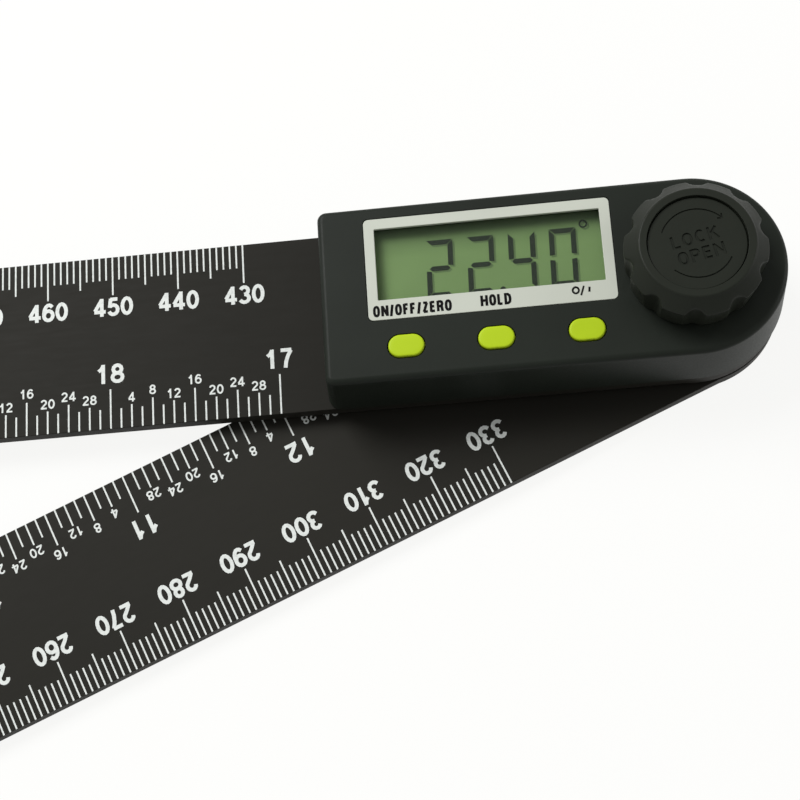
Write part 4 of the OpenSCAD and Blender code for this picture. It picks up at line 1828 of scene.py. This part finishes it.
@dataclass
class Fasteners:
    """What shows from below: the bolt's head, the battery cover and the screws.

    Attributes:
        head_low: Underside of the lid and of the screw heads.
        head_high: Where they meet the plug and the shanks.
        lug: Inner and outer radius of the lid's lugs, their half width and their underside.
        neck: Radius of the bolt's keyed neck, and half its width across the flats.
        sensor_flat: Where the shaft's flat starts and ends, and how far it is from the axis.
    """

    head_low: float = 2.85
    head_high: float = 3.95
    lid_r: float = 11.0
    plug_r: float = 10.15
    plug_top: float = 5.65
    lug: tuple[float, float, float, float] = (9.6, 10.8, 2.0, 5.05)
    coin_slot: tuple[float, float, float] = (13.0, 1.9, 3.55)
    grips: int = 24
    screw_head_r: float = 2.0
    shank_r: float = 1.0
    shank_top: float = 11.7
    cross: tuple[float, float, float] = (1.25, 0.24, 3.5)
    bolt_head: Seat = (7.0, 1.2)
    neck: Point = (4.2, 3.4)
    shaft: Seat = (3.0, 15.22)
    shaft_end: Seat = (2.5, 20.25)
    sensor_flat: tuple[float, float, float] = (5.83, 8.97, 2.4)
    key_hole: tuple[float, float, float] = (0.8, 4.4, 0.7)

    def build(self, finishes: Finishes) -> None:
        """Model the three groups.

        Args:
            finishes: The object's finishes.
        """
        self.battery_cover(finishes)
        self.case_screws(finishes)
        self.bolt(finishes)

    def battery_cover(self, finishes: Finishes) -> None:
        """Model the coin-slot lid with its plug, lugs and turning marks.

        Args:
            finishes: The object's finishes.
        """
        x, below = CELL_X, self.head_low - 1
        piece = Piece.rod("battery_lid", self.lid_r, self.head_low, self.head_high, (x, 0), 96)
        piece.fuse(Piece.rod("plug", self.plug_r, self.head_high - 0.05, self.plug_top, (x, 0), 96))
        inner, outer, half, low = self.lug
        for angle in (0, 120, 240):
            lug = Piece.block("lug", (x + inner, -half, low), (x + outer, half, self.plug_top))
            piece.fuse(lug.turn(angle, (x, 0)))
        length, width, depth = self.coin_slot
        piece.cut(stadium("coin_slot", length, width, below, depth, (x, 0)))
        for count in range(self.grips):
            notch = Piece.block("grip", (x + self.lid_r - 0.4, -0.35, below),
                                (x + self.lid_r + 0.4, 0.35, self.head_low + 0.45))
            piece.cut(notch.turn((count + 0.5) * 360 / self.grips, (x, 0)))
        piece.soften(0.08)
        piece.finish(finishes.get("lid"), Body.BATTERY_COVER, "lid_black", "battery_cover")

    def case_screws(self, finishes: Finishes) -> None:
        """Model one cross-head screw and copy it to its four places.

        Args:
            finishes: The object's finishes.
        """
        screw = Piece.rod("case_screws", self.screw_head_r, self.head_low, self.head_high,
                          sides=48)
        screw.fuse(Piece.rod("shank", self.shank_r, self.head_high - 0.05, self.shank_top,
                             sides=32))
        reach, half, depth = self.cross
        low = self.head_low - 1
        cross = Piece.block("cross", (-reach, -half, low), (reach, half, depth))
        cross.fuse(Piece.block("cross_two", (-half, -reach, low), (half, reach, depth)))
        screw.cut(cross)
        screw.soften(0.09)
        first, *rest = CASE_SCREWS
        twins = [screw.copy("screw_copy").shift((*at, 0)) for at in rest]
        screw.shift((*first, 0))
        screw.absorb(twins)
        screw.finish(finishes.get("screw"), Body.HEAD, "screw_zinc", "housing_screws")

    def bolt(self, finishes: Finishes) -> None:
        """Model the pivot bolt: flush head with two key holes, neck, shaft and end.

        Args:
            finishes: The object's finishes.
        """
        head_r, head_top = self.bolt_head
        shaft_r, shaft_top = self.shaft
        end_r, end_top = self.shaft_end
        piece = Piece.rod("pivot_bolt", head_r, 0.0, head_top, sides=96)
        piece.fuse(flatted_rod("neck", *self.neck, head_top - 0.1, ARM_T))
        piece.fuse(Piece.rod("shaft", shaft_r, ARM_T - 0.1, shaft_top))
        piece.fuse(Piece.rod("shaft_end", end_r, shaft_top - 0.12, end_top))
        low, high, aside = self.sensor_flat
        piece.cut(Piece.block("sensor_flat", (aside, -4, low), (4, 4, high)))
        hole_r, hole_x, depth = self.key_hole
        for side in (-1, 1):
            piece.cut(Piece.rod("key_hole", hole_r, -1, depth, (side * hole_x, 0), 32))
        piece.soften(0.12)
        piece.turn(ARM_ANGLE)
        piece.finish(finishes.get("bolt"), Body.LOWER_ARM, "bolt_steel", "clamp_bolt")


class InnerParts:
    """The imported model's own solids that stay, each with its finish."""

    FINISH_OF = {
        "pivot_bush": "brass", "friction_washer": "washer", "housing_base": "tray",
        "display_window": "lens", "lcd_frame": "frame", "contact_strips": "strip",
        "circuit_board": "board", "board_chips": "chip", "button_switches": "switch",
        "board_screws": "screw", "coin_cell": "cell", "contact_positive": "contact",
        "contact_negative": "contact", "knob_washer": "washer", "retaining_ring": "ring",
        "rotor_carrier": "carrier", "encoder_rotor": "board", "knob_insert": "brass",
    }

    def build(self, nodes: dict[str, bpy.types.Object], finishes: Finishes) -> None:
        """Dress every node that no piece replaces.

        Args:
            nodes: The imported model's nodes, by name.
            finishes: The object's finishes.
        """
        for name, finish in self.FINISH_OF.items():
            materials = nodes[name].data.materials
            materials.clear()
            materials.append(finishes.get(finish))
            LOG.info("%s: packed solid in %s", name, finish)


# ---- the studio ------------------------------------------------------------


@dataclass
class Studio:
    """The camera, the floor and the light."""

    camera_at: tuple[float, float, float] = (-28.33, -84.42, 220.94)
    camera_turn: tuple[float, float, float] = (15.026, 5.037, -3.630)
    focal_pixels: float = 1563.6
    frame_pixels: float = 800.0
    sensor: float = 36.0
    shift_up: float = 0.10
    white: tuple[float, float, float, float] = (1.0, 1.0, 0.985, 1)
    paper: tuple[float, float, float, float] = (0.9, 0.9, 0.89, 1)
    glow: float = 0.9
    world_light: float = 0.27
    aim_at: tuple[float, float, float] = (-80, -10, 10)

    def camera(self) -> None:
        """Set the camera where the photograph was taken."""
        data = bpy.data.cameras.new("camera")
        data.sensor_width = self.sensor
        data.lens = self.focal_pixels / self.frame_pixels * self.sensor
        data.shift_y = self.shift_up
        data.clip_start = 0.005
        obj = bpy.data.objects.new("camera", data)
        obj.location = [c * METRES for c in self.camera_at]
        obj.rotation_euler = Euler([math.radians(a) for a in self.camera_turn], "XYZ")
        bpy.context.scene.collection.objects.link(obj)
        bpy.context.scene.camera = obj

    @staticmethod
    def shown(tree: bpy.types.NodeTree) -> bpy.types.NodeSocket:
        """Give 1 for rays that show the background: to the camera, in gloss and in glass.

        Args:
            tree: A material's or a world's node tree.

        Returns:
            The socket.
        """
        path = tree.nodes.new("ShaderNodeLightPath")
        shown = path.outputs["Is Camera Ray"]
        for ray in ("Is Glossy Ray", "Is Transmission Ray"):
            either = tree.nodes.new("ShaderNodeMath")
            either.operation = "MAXIMUM"
            tree.links.new(shown, either.inputs[0])
            tree.links.new(path.outputs[ray], either.inputs[1])
            shown = either.outputs[0]
        return shown

    def floor(self) -> None:
        """Lay a pale floor under the tool, white to the camera but for its shadow."""
        Piece.clear()
        bpy.ops.mesh.primitive_plane_add(size=6.0, location=(0, 0, -0.0002))
        obj = bpy.context.object
        obj.name = "floor"
        material = bpy.data.materials.new("floor_paper")
        material.use_nodes = True
        tree = material.node_tree
        shader = tree.nodes["Principled BSDF"]
        shader.inputs["Base Color"].default_value = self.paper
        shader.inputs["Roughness"].default_value = 0.9
        glow = tree.nodes.new("ShaderNodeEmission")
        glow.inputs["Color"].default_value = self.white
        share = tree.nodes.new("ShaderNodeMath")
        share.operation = "MULTIPLY"
        share.inputs[1].default_value = self.glow
        mix = tree.nodes.new("ShaderNodeMixShader")
        tree.links.new(self.shown(tree), share.inputs[0])
        tree.links.new(share.outputs[0], mix.inputs[0])
        tree.links.new(shader.outputs[0], mix.inputs[1])
        tree.links.new(glow.outputs[0], mix.inputs[2])
        tree.links.new(mix.outputs[0], tree.nodes["Material Output"].inputs["Surface"])
        obj.data.materials.append(material)

    def world(self) -> None:
        """Light the room evenly, and show it as white."""
        world = bpy.data.worlds.new("room")
        world.use_nodes = True
        tree = world.node_tree
        lit = tree.nodes["Background"]
        lit.inputs["Color"].default_value = (1, 1, 1, 1)
        lit.inputs["Strength"].default_value = self.world_light
        white = tree.nodes.new("ShaderNodeBackground")
        white.inputs["Color"].default_value = self.white
        mix = tree.nodes.new("ShaderNodeMixShader")
        tree.links.new(self.shown(tree), mix.inputs[0])
        tree.links.new(lit.outputs[0], mix.inputs[1])
        tree.links.new(white.outputs[0], mix.inputs[2])
        tree.links.new(mix.outputs[0], tree.nodes["World Output"].inputs["Surface"])
        bpy.context.scene.world = world

    def lamp(self, name: str, at: Sequence[float], size: float, power: float) -> None:
        """Hang a soft square lamp that looks at the case.

        Args:
            name: The lamp's name.
            at: Its place in millimetres.
            size: Its side in millimetres.
            power: Its power in watts.
        """
        data = bpy.data.lights.new(name, "AREA")
        data.size = size * METRES
        data.energy = power
        obj = bpy.data.objects.new(name, data)
        obj.location = [c * METRES for c in at]
        aim = Vector([c * METRES for c in self.aim_at]) - obj.location
        obj.rotation_euler = aim.to_track_quat("-Z", "Y").to_euler()
        bpy.context.scene.collection.objects.link(obj)

    def build(self) -> None:
        """Set up the whole studio."""
        self.camera()
        self.floor()
        self.world()
        self.lamp("key_lamp", at=(-420, 380, 620), size=420, power=6.9)
        self.lamp("side_lamp", at=(620, 60, 240), size=260, power=0.9)
        bpy.context.scene.view_settings.view_transform = "Standard"


def build_all(nodes: dict[str, bpy.types.Object]) -> None:
    """Build every sub-assembly in order.

    Args:
        nodes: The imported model's nodes, by name.
    """
    finishes = Finishes()
    Studio().build()
    UpperArm("upper_arm", Body.HEAD, "upper_arm", low=UPPER_Z, turn=0.0, zero_mm=364.86,
             zero_inch=371.47, first_mm=430, last_mm=730, first_inch=17,
             last_inch=29).build(finishes)
    LowerArm("lower_arm", Body.LOWER_ARM, "lower_arm", low=0.0, turn=180.0 + ARM_ANGLE,
             zero_mm=365.62, zero_inch=365.62, first_mm=0, last_mm=330, first_inch=0,
             last_inch=13).build(finishes)
    CaseShell().build(finishes)
    Surround().build(finishes)
    Display().build(finishes)
    for body, x in zip((Body.POWER, Body.HOLD, Body.UNIT), KEY_X):
        PushButton(body.value, body, x).build(finishes)
    LockKnob().build(finishes)
    Fasteners().build(finishes)
    InnerParts().build(nodes, finishes)


def main() -> None:
    """Load the frame and build the object around it."""
    logging.basicConfig(level=logging.INFO, format="%(name)s: %(message)s")
    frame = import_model()
    build_all(frame["nodes"])


if __name__ == "__main__":
    main()
